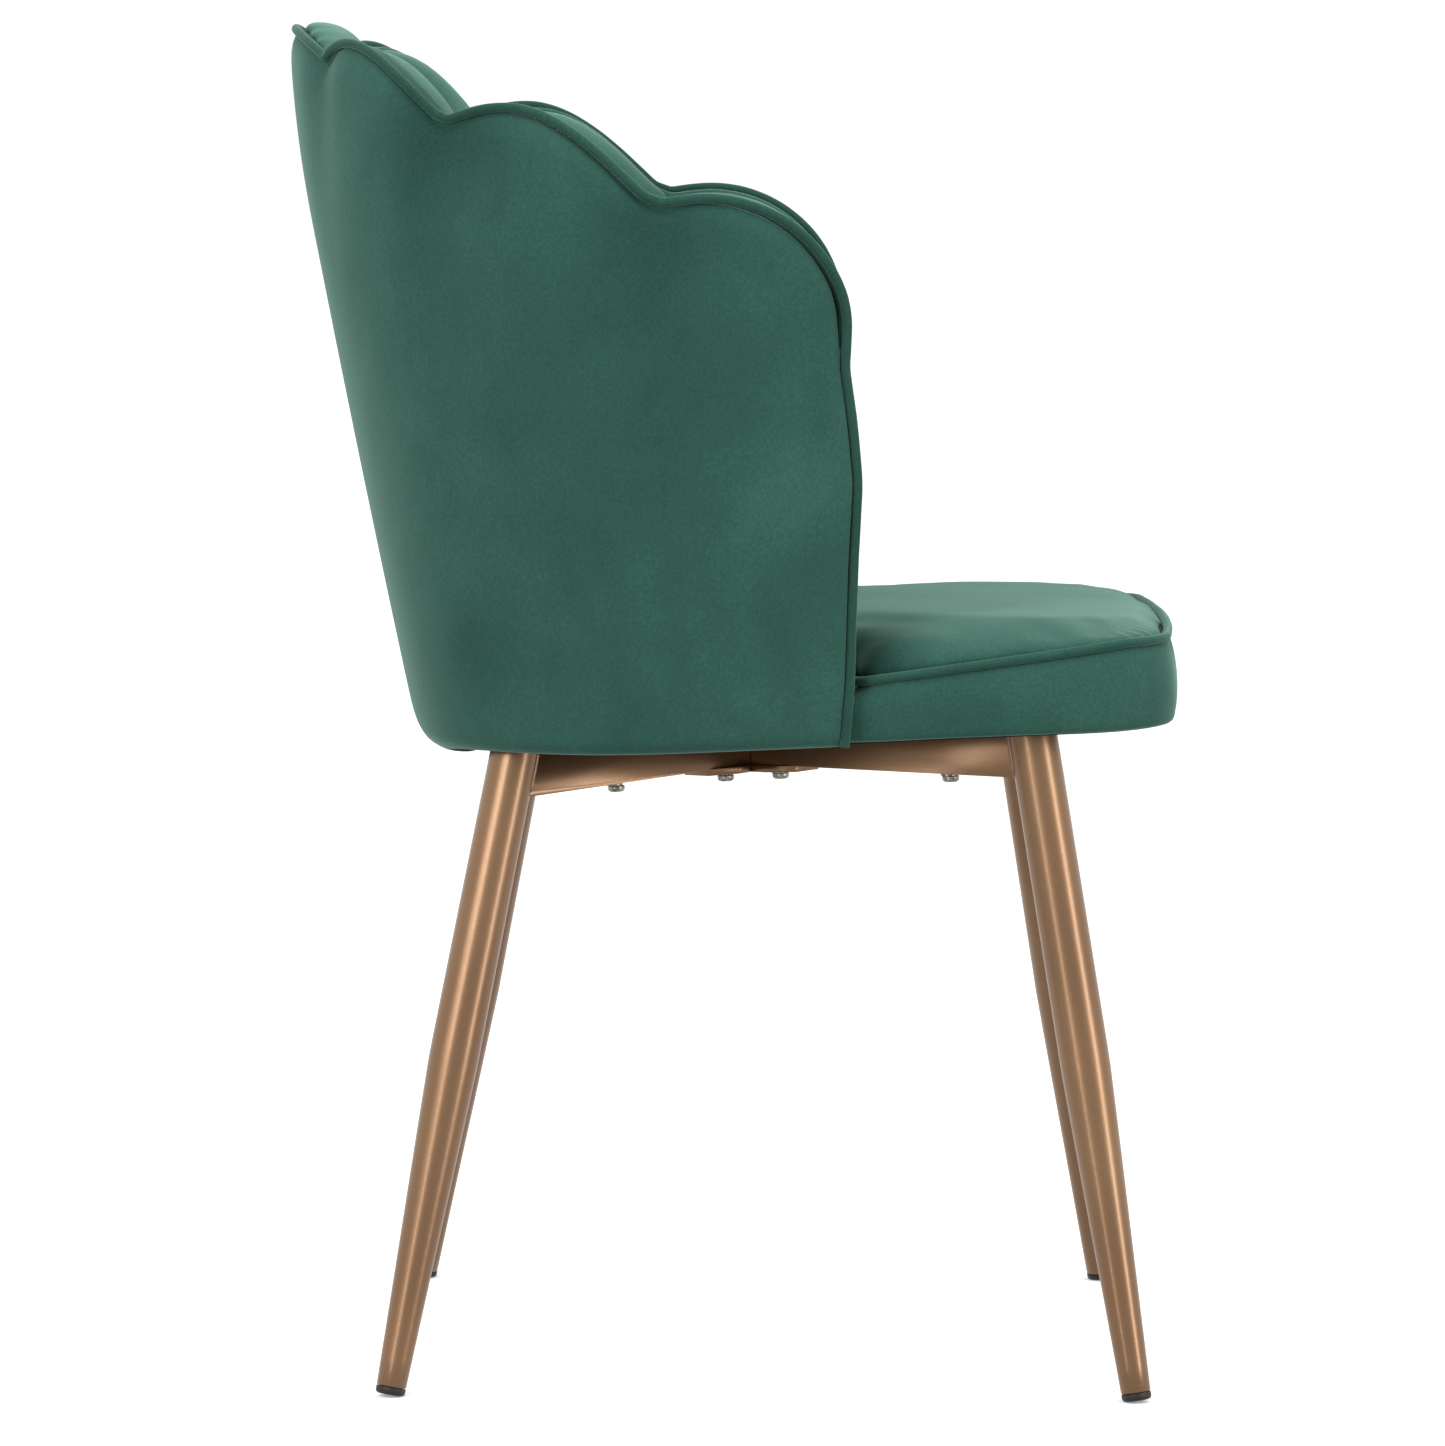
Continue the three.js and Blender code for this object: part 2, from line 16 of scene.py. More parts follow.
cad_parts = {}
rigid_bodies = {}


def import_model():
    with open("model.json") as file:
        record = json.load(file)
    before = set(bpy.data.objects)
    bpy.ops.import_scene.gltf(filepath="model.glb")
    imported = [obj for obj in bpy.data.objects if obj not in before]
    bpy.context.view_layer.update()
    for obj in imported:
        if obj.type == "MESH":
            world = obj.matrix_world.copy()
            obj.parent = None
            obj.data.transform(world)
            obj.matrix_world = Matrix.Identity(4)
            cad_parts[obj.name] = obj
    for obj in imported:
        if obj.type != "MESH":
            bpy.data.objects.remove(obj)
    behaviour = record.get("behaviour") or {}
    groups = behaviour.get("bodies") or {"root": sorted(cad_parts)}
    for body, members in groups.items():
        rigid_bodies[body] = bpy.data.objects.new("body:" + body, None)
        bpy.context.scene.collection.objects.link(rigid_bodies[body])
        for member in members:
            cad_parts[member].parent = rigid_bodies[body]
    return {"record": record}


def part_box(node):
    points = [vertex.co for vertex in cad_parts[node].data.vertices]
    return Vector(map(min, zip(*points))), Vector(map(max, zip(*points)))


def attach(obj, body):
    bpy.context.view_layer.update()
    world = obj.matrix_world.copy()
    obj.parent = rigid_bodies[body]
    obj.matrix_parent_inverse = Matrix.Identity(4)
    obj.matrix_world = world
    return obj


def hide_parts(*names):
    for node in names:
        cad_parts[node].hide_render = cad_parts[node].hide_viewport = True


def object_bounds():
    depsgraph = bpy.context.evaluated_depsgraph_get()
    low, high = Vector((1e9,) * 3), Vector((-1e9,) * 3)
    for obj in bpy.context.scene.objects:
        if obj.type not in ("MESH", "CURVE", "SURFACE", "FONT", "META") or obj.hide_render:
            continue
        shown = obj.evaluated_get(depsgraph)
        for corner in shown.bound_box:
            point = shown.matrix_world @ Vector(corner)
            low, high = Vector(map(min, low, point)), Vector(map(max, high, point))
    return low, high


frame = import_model()
cad_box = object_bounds()
print("CAD box", cad_box)

# %% [markdown]
# ## One small helper for nodes
# Every shader and every geometry tree below is drawn with it.

# %% Adding a node
def add_node(tree, kind, settings=None, links=None):
    """Adds a node; settings are properties or socket values, links are sockets to join."""
    node = tree.nodes.new(kind)
    for key, value in (settings or {}).items():
        if isinstance(key, str) and hasattr(node, key):
            setattr(node, key, value)
        else:
            node.inputs[key].default_value = value
    for key, source in (links or {}).items():
        tree.links.new(source, node.inputs[key])
    return node


# %% [markdown]
# ## Camera and studio
# A long lens from the chair's right side, a little above it, sees the chair almost in
# profile. A pale floor, a white surround and four soft panels light it as a product
# studio does: a broad one above, one beside the camera, and two narrow ones that draw
# the long streaks on the painted tubes.

# %% Camera
LENS_MM, CAMERA_AT = 181.9, (-4.54583, -0.00915, 0.78526)
PITCH, YAW, ROLL = 0.08751, 0.00361, -0.00517
camera_data = bpy.data.cameras.new("long_lens")
camera_data.sensor_fit = "HORIZONTAL"
camera_data.sensor_width = 36.0
camera_data.lens = LENS_MM
camera_data.clip_end = 60.0
camera = bpy.data.objects.new("camera", camera_data)
bpy.context.collection.objects.link(camera)
ahead = Vector((math.cos(PITCH) * math.cos(YAW), math.cos(PITCH) * math.sin(YAW),
                -math.sin(PITCH)))
right = ahead.cross(Vector((0, 0, 1))).normalized()
above = right.cross(ahead)
rolled = Matrix.Rotation(ROLL, 3, ahead)
axes = (rolled @ right, rolled @ above, -ahead)
place = Matrix([[a[i] for a in axes] for i in range(3)]).to_4x4()
place.translation = CAMERA_AT
camera.matrix_world = place
bpy.context.scene.camera = camera
print("camera at", tuple(round(v, 3) for v in place.translation))

# %% Floor, surround and lights
bpy.context.scene.view_settings.view_transform = "Standard"
world = bpy.data.worlds.new("white_surround")
world.use_nodes = True
bpy.context.scene.world = world
sky_tree = world.node_tree
sky_way = add_node(sky_tree, "ShaderNodeTexCoord")
sky_split = add_node(sky_tree, "ShaderNodeSeparateXYZ", links={0: sky_way.outputs["Generated"]})
sky_lift = add_node(sky_tree, "ShaderNodeMath", {"operation": "MULTIPLY_ADD", 1: 1.1},
                    {0: sky_split.outputs["Z"], 2: sky_split.outputs["X"]})
sky_ramp = add_node(sky_tree, "ShaderNodeMapRange",
                    {"From Min": -1.0, "From Max": 0.9, "To Min": 0.58, "To Max": 1.04},
                    {"Value": sky_lift.outputs[0]})
sky_tree.links.new(sky_ramp.outputs["Result"], sky_tree.nodes["Background"].inputs["Strength"])
sky_tree.nodes["Background"].inputs["Color"].default_value = (1, 1, 1, 1)


def soft_panel(name, at, towards, size, watts):
    data = bpy.data.lights.new(name, "AREA")
    data.shape = "RECTANGLE"
    data.size, data.size_y = size
    data.energy = watts
    panel = bpy.data.objects.new(name, data)
    bpy.context.collection.objects.link(panel)
    aim = (Vector(towards) - Vector(at)).to_track_quat("-Z", "Y")
    panel.matrix_world = Matrix.Translation(at) @ aim.to_matrix().to_4x4()


soft_panel("overhead", (-0.4, -0.5, 2.6), (0, 0, 0.5), (2.4, 2.4), 30)
soft_panel("beside_camera", (-2.6, 1.9, 1.9), (0, 0, 0.5), (1.6, 1.6), 38)
soft_panel("strip_front", (-1.5, -2.2, 0.7), (0, 0, 0.3), (0.5, 1.8), 22)
soft_panel("strip_rear", (-2.0, 1.1, 0.5), (0, 0, 0.3), (0.16, 1.6), 7)

# %% [markdown]
# ## Driving sizes
# The frame gives each part's box. The tub of the back is a lofted shape, so its rule is
# repeated here, with sizes within a millimetre of the CAD's: a rounded square at the seat that turns
# into an oval at the top, leans back and flares out. Everything sewn to the back is
# placed with that one rule, so the pieces can't drift apart.

# %% The tub's rule
MM = 0.001
DECK_Z = 0.388
TILT = math.radians(2.8)
DECK_SLOPE = math.tan(TILT)
TUB_LOW, TUB_RISE = 0.385, 0.430
TUB_SIDE, TUB_FLARE = 0.2235, 0.0215
TUB_REAR, TUB_LEAN = 0.1962, 0.0898
TUB_MIDDLE, WING_FRONT = 0.015, -0.070
VALLEYS = ((0.185, 0.7982), (0.455, 0.7625), (0.76, 0.7143))
CREST = 0.817
PETAL_RISE = (0.0208, 0.0256)
SHOULDER_AT, SHOULDER_Z, SHOULDER_REACH, SHOULDER_H = 0.82, 0.632, 0.178, 0.0852
RUN = 0.480                      # metres from the middle of the back to a wing front


def tub(u, z, depth=0.0):
    """Points of the tub for arrays of fractions, heights and inward depths."""
    u, z, depth = np.broadcast_arrays(*(np.asarray(a, float) for a in (u, z, depth)))
    rise = (z - TUB_LOW) / TUB_RISE
    side = TUB_SIDE + TUB_FLARE * rise
    rear = TUB_REAR + TUB_LEAN * rise - 0.64 * np.maximum(0, z - 0.7) ** 2 - TUB_MIDDLE
    power = 2.7 - 0.85 * np.clip(rise, 0, 1)
    bend = 1.6 * np.hypot(side, rear) / math.sqrt(2)
    run = np.abs(u) * (bend + TUB_MIDDLE - WING_FRONT)
    angle = np.minimum(run / bend, 1) * math.pi / 2
    s, c = np.sin(angle), np.maximum(np.cos(angle), 0)
    radius = ((s / side) ** power + (c / rear) ** power) ** (-1 / power)
    across, back = radius * s, radius * c
    nx = across ** (power - 1) / side ** power
    ny = back ** (power - 1) / rear ** power
    norm = np.hypot(nx, ny)
    x = across - depth * nx / norm
    y = TUB_MIDDLE + back - np.maximum(run - bend, 0) - depth * ny / norm
    return np.stack([np.sign(u) * x, y, z], -1)


def rim_height(u):
    """Height of the petalled top edge at a fraction of the way to the wing front."""
    a = abs(u)
    if a < VALLEYS[0][0]:
        swell = math.cos(math.pi / 2 * a / VALLEYS[0][0]) ** 0.8
        return VALLEYS[0][1] + (CREST - VALLEYS[0][1]) * swell
    for k in (0, 1):
        (a0, z0), (a1, z1) = VALLEYS[k], VALLEYS[k + 1]
        if a < a1:
            t = (a - a0) / (a1 - a0)
            hump = math.sin(math.pi * min(1, t / 0.92) ** (1 if k else 0.8))
            return z0 + (z1 - z0) * t + PETAL_RISE[k] * hump
    if a < SHOULDER_AT:
        t = (a - VALLEYS[2][0]) / (SHOULDER_AT - VALLEYS[2][0])
        rise = SHOULDER_Z + SHOULDER_H - VALLEYS[2][1]
        return VALLEYS[2][1] + rise * math.sin(math.pi / 2 * t)
    t = min((a - SHOULDER_AT) / SHOULDER_REACH, 1)
    return SHOULDER_Z + SHOULDER_H * math.sqrt(max(0, 1 - t * t))


FRONT_WAVE = ((0.39, 0.9925), (0.43, 1.0), (0.50, 1.004), (0.55, 1.0095), (0.59, 1.0),
              (0.618, 0.991), (0.64, 0.9945), (0.66, 0.998), (0.9, 0.998))


def front_fraction(z):
    """How far forward the wing's front edge comes at a height: it is not quite straight."""
    return np.interp(z, [p[0] for p in FRONT_WAVE], [p[1] for p in FRONT_WAVE])


def deck_height(y):
    return DECK_Z - DECK_SLOPE * y


def sternness(u):
    """One at the middle of the back, nothing on the wings."""
    return np.cos(np.minimum(np.abs(u) * 2.4, 1) * math.pi / 2) ** 2


STERN_DROP, HIP_RISE = 0.009, 0.003


def cover_low(u):
    """Height of the cover's low edge."""
    hip = np.exp(-((np.abs(u) - 0.46) / 0.17) ** 2)
    return deck_height(tub(u, DECK_Z)[..., 1]) - STERN_DROP * sternness(u) + HIP_RISE * hip


print("wing front", tub(1, 0.5), "crest", tub(0, rim_height(0)))

# %% [markdown]
# ## Making and keeping a mesh
# Most pieces here are lofts: rows of points joined into quads.

# %% Mesh helpers
def make_piece(name, points, faces, material, smooth=True):
    mesh = bpy.data.meshes.new(name)
    mesh.from_pydata([tuple(p) for p in points], [], faces)
    mesh.materials.append(material)
    mesh.polygons.foreach_set("use_smooth", [smooth] * len(mesh.polygons))
    mesh.update()
    piece = bpy.data.objects.new(name, mesh)
    bpy.context.collection.objects.link(piece)
    return piece


def grid_faces(rows, columns, start=0, wrap=False, flip=False):
    """Quads between consecutive rows of points; wrap joins each row's ends."""
    faces = []
    for i in range(rows - 1):
        for j in range(columns if wrap else columns - 1):
            k = (j + 1) % columns
            a, b = start + i * columns + j, start + i * columns + k
            c, d = start + (i + 1) * columns + k, start + (i + 1) * columns + j
            faces.append((d, c, b, a) if flip else (a, b, c, d))
    return faces


def points_of(piece):
    points = np.empty(len(piece.data.vertices) * 3)
    piece.data.vertices.foreach_get("co", points)
    return points.reshape(-1, 3)


def set_points(piece, points):
    piece.data.vertices.foreach_set("co", np.asarray(points, float).ravel())
    piece.data.update()


def end_faces(rows, half):
    """Closes the first and last of some rings; each ring is two rows of that many points."""
    ring, faces = 2 * half, []
    for first in (0, (rows - 1) * ring):
        for j in range(half - 1):
            a, b = first + j, first + j + 1
            c, d = first + ring - 2 - j, first + ring - 1 - j
            faces.append((a, b, c, d) if first == 0 else (d, c, b, a))
    return faces


def outward(piece):
    """Turns every face of a closed mesh to point away from its inside."""
    work = bmesh.new()
    work.from_mesh(piece.data)
    bmesh.ops.remove_doubles(work, verts=work.verts, dist=1e-6)
    bmesh.ops.recalc_face_normals(work, faces=work.faces)
    work.to_mesh(piece.data)
    work.free()
    piece.data.update()


def apply_modifiers(piece):
    """Turns a piece and its live modifiers into a plain mesh."""
    graph = bpy.context.evaluated_depsgraph_get()
    made = bpy.data.meshes.new_from_object(piece.evaluated_get(graph))
    old = piece.data
    piece.modifiers.clear()
    if piece.type == "CURVE":
        twin = bpy.data.objects.new(piece.name, made)
        bpy.context.collection.objects.link(twin)
        name = piece.name
        bpy.data.objects.remove(piece)
        twin.name = name
        return twin
    piece.data = made
    bpy.data.meshes.remove(old)
    return piece


def subdivide(piece):
    smooth = piece.modifiers.new("smooth", "SUBSURF")
    smooth.levels = smooth.render_levels = 1
    return apply_modifiers(piece)


def keep(piece, slot, *nodes):
    """Every piece of this chair rides on its one body."""
    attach(piece, "root")
    if nodes:
        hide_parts(*nodes)
    print(piece.name, len(piece.data.polygons), "faces for", ", ".join(nodes) or "no node")


# %% [markdown]
# ## Finishes
# A material starts from what the real thing is and how its surface was made. Colours are
# written as sRGB hex, as a maker would read them off a swatch, and turned to linear once.

# %% Material helpers
def colour(hex_code):
    channels = [int(hex_code[i:i + 2], 16) / 255 for i in (0, 2, 4)]
    linear = [c / 12.92 if c <= 0.04045 else ((c + 0.055) / 1.055) ** 2.4 for c in channels]
    return (*linear, 1.0)


def new_material(name):
    material = bpy.data.materials.new(name)
    material.use_nodes = True
    tree = material.node_tree
    tree.nodes.clear()
    output = tree.nodes.new("ShaderNodeOutputMaterial")
    surface = tree.nodes.new("ShaderNodeBsdfPrincipled")
    tree.links.new(surface.outputs["BSDF"], output.inputs["Surface"])
    return material, tree, surface


def ramp_node(tree, source, stops):
    """A colour ramp; each stop is a place and a hex colour."""
    ramp = add_node(tree, "ShaderNodeValToRGB", links={"Fac": source})
    for element, (at, code) in zip(ramp.color_ramp.elements, (stops[0], stops[-1])):
        element.position = at
        element.color = colour(code)
    for at, code in stops[1:-1]:
        ramp.color_ramp.elements.new(at).color = colour(code)
    return ramp


# %% [markdown]
# ### Cut-pile velvet
# Velvet is a short, dense pile of polyester on a woven ground. Seen end on it is dark,
# and seen along the pile it is pale, so it needs a dark base with strong sheen. The pile
# also lies in different directions where a hand or a sewing foot has brushed it, which
# gives soft clouds of lighter and darker green. Those clouds come from noise of about
# 90 mm, streaks of about 25 mm, and a grain of about 1 mm, drawn coarser than the real
# pile of 0.1 mm so that it shows.

# %% Velvet
def make_velvet(name, dark, middle, light):
    material, tree, surface = new_material(name)
    place = add_node(tree, "ShaderNodeTexCoord").outputs["Object"]
    warp = add_node(tree, "ShaderNodeTexNoise", {"Scale": 6.0, "Detail": 2.0},
                    {"Vector": place})
    bent = add_node(tree, "ShaderNodeMixRGB", {"blend_type": "LINEAR_LIGHT", "Fac": 0.05},
                    {"Color1": place, "Color2": warp.outputs["Color"]})
    clouds = add_node(tree, "ShaderNodeTexNoise",
                      {"Scale": 9.0, "Detail": 3.0, "Roughness": 0.5},
                      {"Vector": bent.outputs["Color"]})
    stretch = add_node(tree, "ShaderNodeMapping", {"Scale": (26.0, 26.0, 17.0)},
                       {"Vector": bent.outputs["Color"]})
    streaks = add_node(tree, "ShaderNodeTexNoise",
                       {"Scale": 1.0, "Detail": 4.0, "Roughness": 0.6},
                       {"Vector": stretch.outputs["Vector"]})
    grain = add_node(tree, "ShaderNodeTexNoise",
                     {"Scale": 480.0, "Detail": 3.0, "Roughness": 0.75}, {"Vector": place})
    # a number on each point adds painted light and shade to the pile's tone
    brushed = add_node(tree, "ShaderNodeAttribute", {"attribute_name": "brushed"})
    blend = add_node(tree, "ShaderNodeMath", {"operation": "MULTIPLY", 1: 0.40},
                     {0: clouds.outputs["Fac"]})
    blend = add_node(tree, "ShaderNodeMath", {"operation": "MULTIPLY_ADD", 1: 0.22},
                     {0: streaks.outputs["Fac"], 2: blend.outputs[0]})
    blend = add_node(tree, "ShaderNodeMath", {"operation": "MULTIPLY_ADD", 1: 0.42},
                     {0: grain.outputs["Fac"], 2: blend.outputs[0]})
    blend = add_node(tree, "ShaderNodeMath", {"operation": "ADD"},
                     {0: brushed.outputs["Fac"], 1: blend.outputs[0]})
    pile = ramp_node(tree, blend.outputs[0],
                     ((0.2, dark), (0.52, middle), (0.85, light)))
    tree.links.new(pile.outputs["Color"], surface.inputs["Base Color"])
    rough = add_node(tree, "ShaderNodeMapRange", {"To Min": 0.78, "To Max": 0.95},
                     {"Value": streaks.outputs["Fac"]})
    tree.links.new(rough.outputs["Result"], surface.inputs["Roughness"])
    fine = add_node(tree, "ShaderNodeBump", {"Strength": 0.22, "Distance": 0.0004},
                    {"Height": grain.outputs["Fac"]})
    soft = add_node(tree, "ShaderNodeBump", {"Strength": 0.25, "Distance": 0.0012},
                    {"Height": clouds.outputs["Fac"], "Normal": fine.outputs["Normal"]})
    tree.links.new(soft.outputs["Normal"], surface.inputs["Normal"])
    surface.inputs["IOR"].default_value = 1.45
    surface.inputs["Specular IOR Level"].default_value = 0.15
    surface.inputs["Sheen Weight"].default_value = 0.55
    surface.inputs["Sheen Roughness"].default_value = 0.38
    surface.inputs["Sheen Tint"].default_value = colour("A8CDBF")
    return material


velvet = make_velvet("cut_pile_velvet", "1A3A32", "2C5248", "426A5E")
welt_velvet = make_velvet("bias_cut_velvet_piping", "17342C", "264A40", "3B6256")

# %% [markdown]
# ### Satin metallic paint
# The legs are steel tube sprayed with a bronze-gold paint. Fine flakes in the lacquer
# make it part mirror, part matt, so it is mostly metallic with medium roughness, a thin
# clear coat, flake noise of about 0.6 mm and a slow orange-peel bump of about 5 mm.

# %% Gold paint
gold_paint, tree, surface = new_material("satin_bronze_metallic_paint")
place = add_node(tree, "ShaderNodeTexCoord").outputs["Object"]
flakes = add_node(tree, "ShaderNodeTexVoronoi", {"Scale": 1500.0}, {"Vector": place})
tone = add_node(tree, "ShaderNodeTexNoise", {"Scale": 9.0, "Detail": 1.0},
                {"Vector": place})
mottle = add_node(tree, "ShaderNodeMath", {"operation": "MULTIPLY_ADD", 1: 0.28},
                  {0: flakes.outputs["Color"], 2: tone.outputs["Fac"]})
paint = ramp_node(tree, mottle.outputs[0],
                  ((0.3, "84644A"), (0.6, "8B6A4D"), (0.9, "937253")))
tree.links.new(paint.outputs["Color"], surface.inputs["Base Color"])
satin = add_node(tree, "ShaderNodeMapRange", {"To Min": 0.3, "To Max": 0.36},
                 {"Value": tone.outputs["Fac"]})
tree.links.new(satin.outputs["Result"], surface.inputs["Roughness"])
peel = add_node(tree, "ShaderNodeTexNoise", {"Scale": 200.0, "Detail": 2.0},
                {"Vector": place})
skin = add_node(tree, "ShaderNodeBump", {"Strength": 0.12, "Distance": 0.0004},
                {"Height": peel.outputs["Fac"]})
glint = add_node(tree, "ShaderNodeBump", {"Strength": 0.05, "Distance": 0.0002},
                 {"Height": flakes.outputs["Distance"], "Normal": skin.outputs["Normal"]})
tree.links.new(glint.outputs["Normal"], surface.inputs["Normal"])
surface.inputs["Metallic"].default_value = 0.72
surface.inputs["Coat Weight"].default_value = 0.25
surface.inputs["Coat Roughness"].default_value = 0.22

# %% [markdown]
# ### Zinc, plastic, plywood and fleece
# The bolts are bright zinc plate: a metal with faint blue-grey mottling. The foot caps
# are moulded black plastic with a fine spark-eroded grain. The deck and shell are birch
# plywood, seen only at an edge, and the dust cover is black spunbonded fleece.

# %% The other finishes
def one_texture_finish(name, kind, settings, stops, stretch=None, rough=None, bump=None, **values):
    """A finish whose colour, and roughness range or bump if asked, come from one texture."""
    material, tree, surface = new_material(name)
    place = add_node(tree, "ShaderNodeTexCoord").outputs["Object"]
    if stretch:
        place = add_node(tree, "ShaderNodeMapping", {"Scale": stretch},
                         {"Vector": place}).outputs["Vector"]
    texture = add_node(tree, "ShaderNodeTex" + kind, settings, {"Vector": place})
    level = texture.outputs["Distance" if kind == "Voronoi" else "Fac"]
    tone = ramp_node(tree, level, stops)
    tree.links.new(tone.outputs["Color"], surface.inputs["Base Color"])
    if rough:
        worn = add_node(tree, "ShaderNodeMapRange", {"To Min": rough[0], "To Max": rough[1]},
                        {"Value": level})
        tree.links.new(worn.outputs["Result"], surface.inputs["Roughness"])
    if bump:
        relief = add_node(tree, "ShaderNodeBump", {"Strength": bump[0], "Distance": bump[1]},
                          {"Height": level})
        tree.links.new(relief.outputs["Normal"], surface.inputs["Normal"])
    for socket, value in values.items():
        surface.inputs[socket.replace("_", " ")].default_value = value
    return material


zinc = one_texture_finish(
    "bright_zinc_plate", "Noise", {"Scale": 420.0, "Detail": 4.0},
    ((0.35, "74716B"), (0.65, "B4B0A8")), rough=(0.22, 0.42), Metallic=1.0)
plastic = one_texture_finish(
    "moulded_black_polyethylene", "Noise", {"Scale": 1400.0, "Detail": 3.0},
    ((0.3, "161310"), (0.75, "2A2521")), bump=(0.3, 0.0003), Roughness=0.48, IOR=1.51)
plywood = one_texture_finish(
    "rotary_cut_birch_plywood", "Noise", {"Scale": 4.0, "Detail": 6.0},
    ((0.3, "A57F52"), (0.7, "CFAE80")), stretch=(30.0, 3.0, 30.0), Roughness=0.7)
fleece = one_texture_finish(
    "spunbonded_black_fleece", "Voronoi", {"Scale": 700.0},
    ((0.1, "0C0C0C"), (0.6, "1E1E1D")), bump=(0.4, 0.0004), Roughness=0.92)
finishes = {"green_velvet": velvet, "gold_paint": gold_paint, "zinc_steel": zinc,
            "black_plastic": plastic, "birch_plywood": plywood, "black_fleece": fleece}
print(len(finishes), "finishes")

# %% Finishes on the CAD parts that stay
for subpart in frame["record"]["subparts"]:
    node = bpy.data.objects[subpart["node"]]
    node.data.materials.clear()
    node.data.materials.append(finishes[subpart["material_slot"]])

# %% [markdown]
# ### The studio floor
# The floor is a large pale sheet. It has its own faint mottling, as painted board does.

# %% Floor
studio_floor = one_texture_finish(
    "white_painted_studio_floor", "Noise", {"Scale": 3.0}, ((0.3, "FBFBFB"), (0.7, "FFFFFF")),
    Roughness=0.9, Specular_IOR_Level=0.0, Emission_Color=(1, 1, 1, 1), Emission_Strength=0.24)
FLOOR, UNDER_FEET = 30.0, 0.0005
floor_at = cad_box[0][2] - UNDER_FEET
corners = [(-FLOOR, -FLOOR, floor_at), (FLOOR, -FLOOR, floor_at),
           (FLOOR, FLOOR, floor_at), (-FLOOR, FLOOR, floor_at)]
floor_sheet = make_piece("studio_floor", corners, [(0, 1, 2, 3)], studio_floor, smooth=False)
floor_sheet.visible_diffuse = False
floor_sheet.visible_glossy = False

# %% [markdown]
# ## The outer cover
# One smooth piece of foam-backed velvet is stretched round the outside of the plywood.
# It is a loft over the tub's rule. At the petals' valleys the stitching pulls the cloth
# in, so the surface dips there and the dip fades downwards as a soft crease. At its edge
# the cloth dives under the piping, and at the low edge it rolls under the seat.

# %% Where the columns of the back stand
def column_fractions(per_petal, shoulder_steps):
    """Fractions from one wing front to the other, closer together round the shoulders."""
    half = [0.0]
    for a0, a1 in ((0, VALLEYS[0][0]), (VALLEYS[0][0], VALLEYS[1][0]),
                   (VALLEYS[1][0], VALLEYS[2][0]), (VALLEYS[2][0], SHOULDER_AT)):
        steps = max(3, round(per_petal * (a1 - a0) / 0.3))
        half += [a0 + (a1 - a0) * (i + 1) / steps for i in range(steps)]
    for i in range(1, shoulder_steps + 1):
        turn = math.pi / 2 * i / shoulder_steps
        half.append(SHOULDER_AT + SHOULDER_REACH * math.sin(turn))
    return np.array([-a for a in reversed(half[1:])] + half)


def edge_path(margin, columns):
    """The back's edge brought in by a margin, as fraction and height per column."""
    round_end = SHOULDER_AT + SHOULDER_REACH * np.sin(np.linspace(0, math.pi / 2, 200))
    dense = np.concatenate([np.linspace(0, SHOULDER_AT, 300), round_end])
    heights = np.array([rim_height(a) for a in dense])
    run_x = dense * RUN
    inside = []
    for a in np.abs(columns):
        x = min(a * RUN, SHOULDER_AT * RUN + SHOULDER_REACH * RUN)
        reach = np.abs(run_x - x) <= margin
        drop = np.sqrt(np.maximum(margin ** 2 - (run_x[reach] - x) ** 2, 0))
        inside.append(np.min(heights[reach] - drop))
    return np.array(inside)


DIP_DEEP, DIP_WIDE, DIP_LONG = (0.0055, 0.0055, 0.0045), (0.045, 0.05, 0.05), 0.055


def valley_dip(u, z):
    """How far the stitching pulls the cloth in below each valley."""
    dip = np.zeros(np.broadcast(u, z).shape)
    for (at, height), deep, wide in zip(VALLEYS, DIP_DEEP, DIP_WIDE):
        across = np.exp(-((np.abs(u) - at) / wide) ** 2)
        down = np.exp(-np.maximum(height - z, 0) / DIP_LONG)
        dip = dip + deep * across * down
    return dip


columns = column_fractions(26, 16)
top = edge_path(0.0024, columns)
low = cover_low(columns)
LEVELS = 46
print(len(columns), "columns")

# %% The cover's surface
CURL_SIDE, CURL_STERN = 0.006, 0.030
TUCK_DEPTH, TUCK_REACH = 0.0031, 0.0035
PLUMP, COVER_THICK = 0.0022, 0.0045


def cover_points(offset):
    rows = []
    curl_radius = CURL_SIDE + CURL_STERN * sternness(columns)
    for i in range(LEVELS):
        t = i / (LEVELS - 1)
        z = low + (top - low) * (t ** 1.15)
        u = columns * front_fraction(z) * 0.9925
        h = np.minimum(z - low + 0.01 * curl_radius, curl_radius)
        curl = curl_radius - np.sqrt(np.maximum(curl_radius ** 2 - (curl_radius - h) ** 2, 0))
        near_top = np.exp(-np.maximum(top - z, 0) / TUCK_REACH) * TUCK_DEPTH
        ends = (1 - np.abs(columns) / np.abs(columns).max()) * RUN
        near_end = np.exp(-ends / TUCK_REACH) * TUCK_DEPTH
        tuck = np.maximum(near_top, near_end)
        # foam swells the cloth a little between its fixings
        plump = -PLUMP * np.sin(math.pi * np.clip((z - low) / (top - low), 0, 1)) ** 0.7
        depth = curl + tuck + valley_dip(u, z) + plump + offset
        rows.append(tub(u, z, depth))
    return np.array(rows)


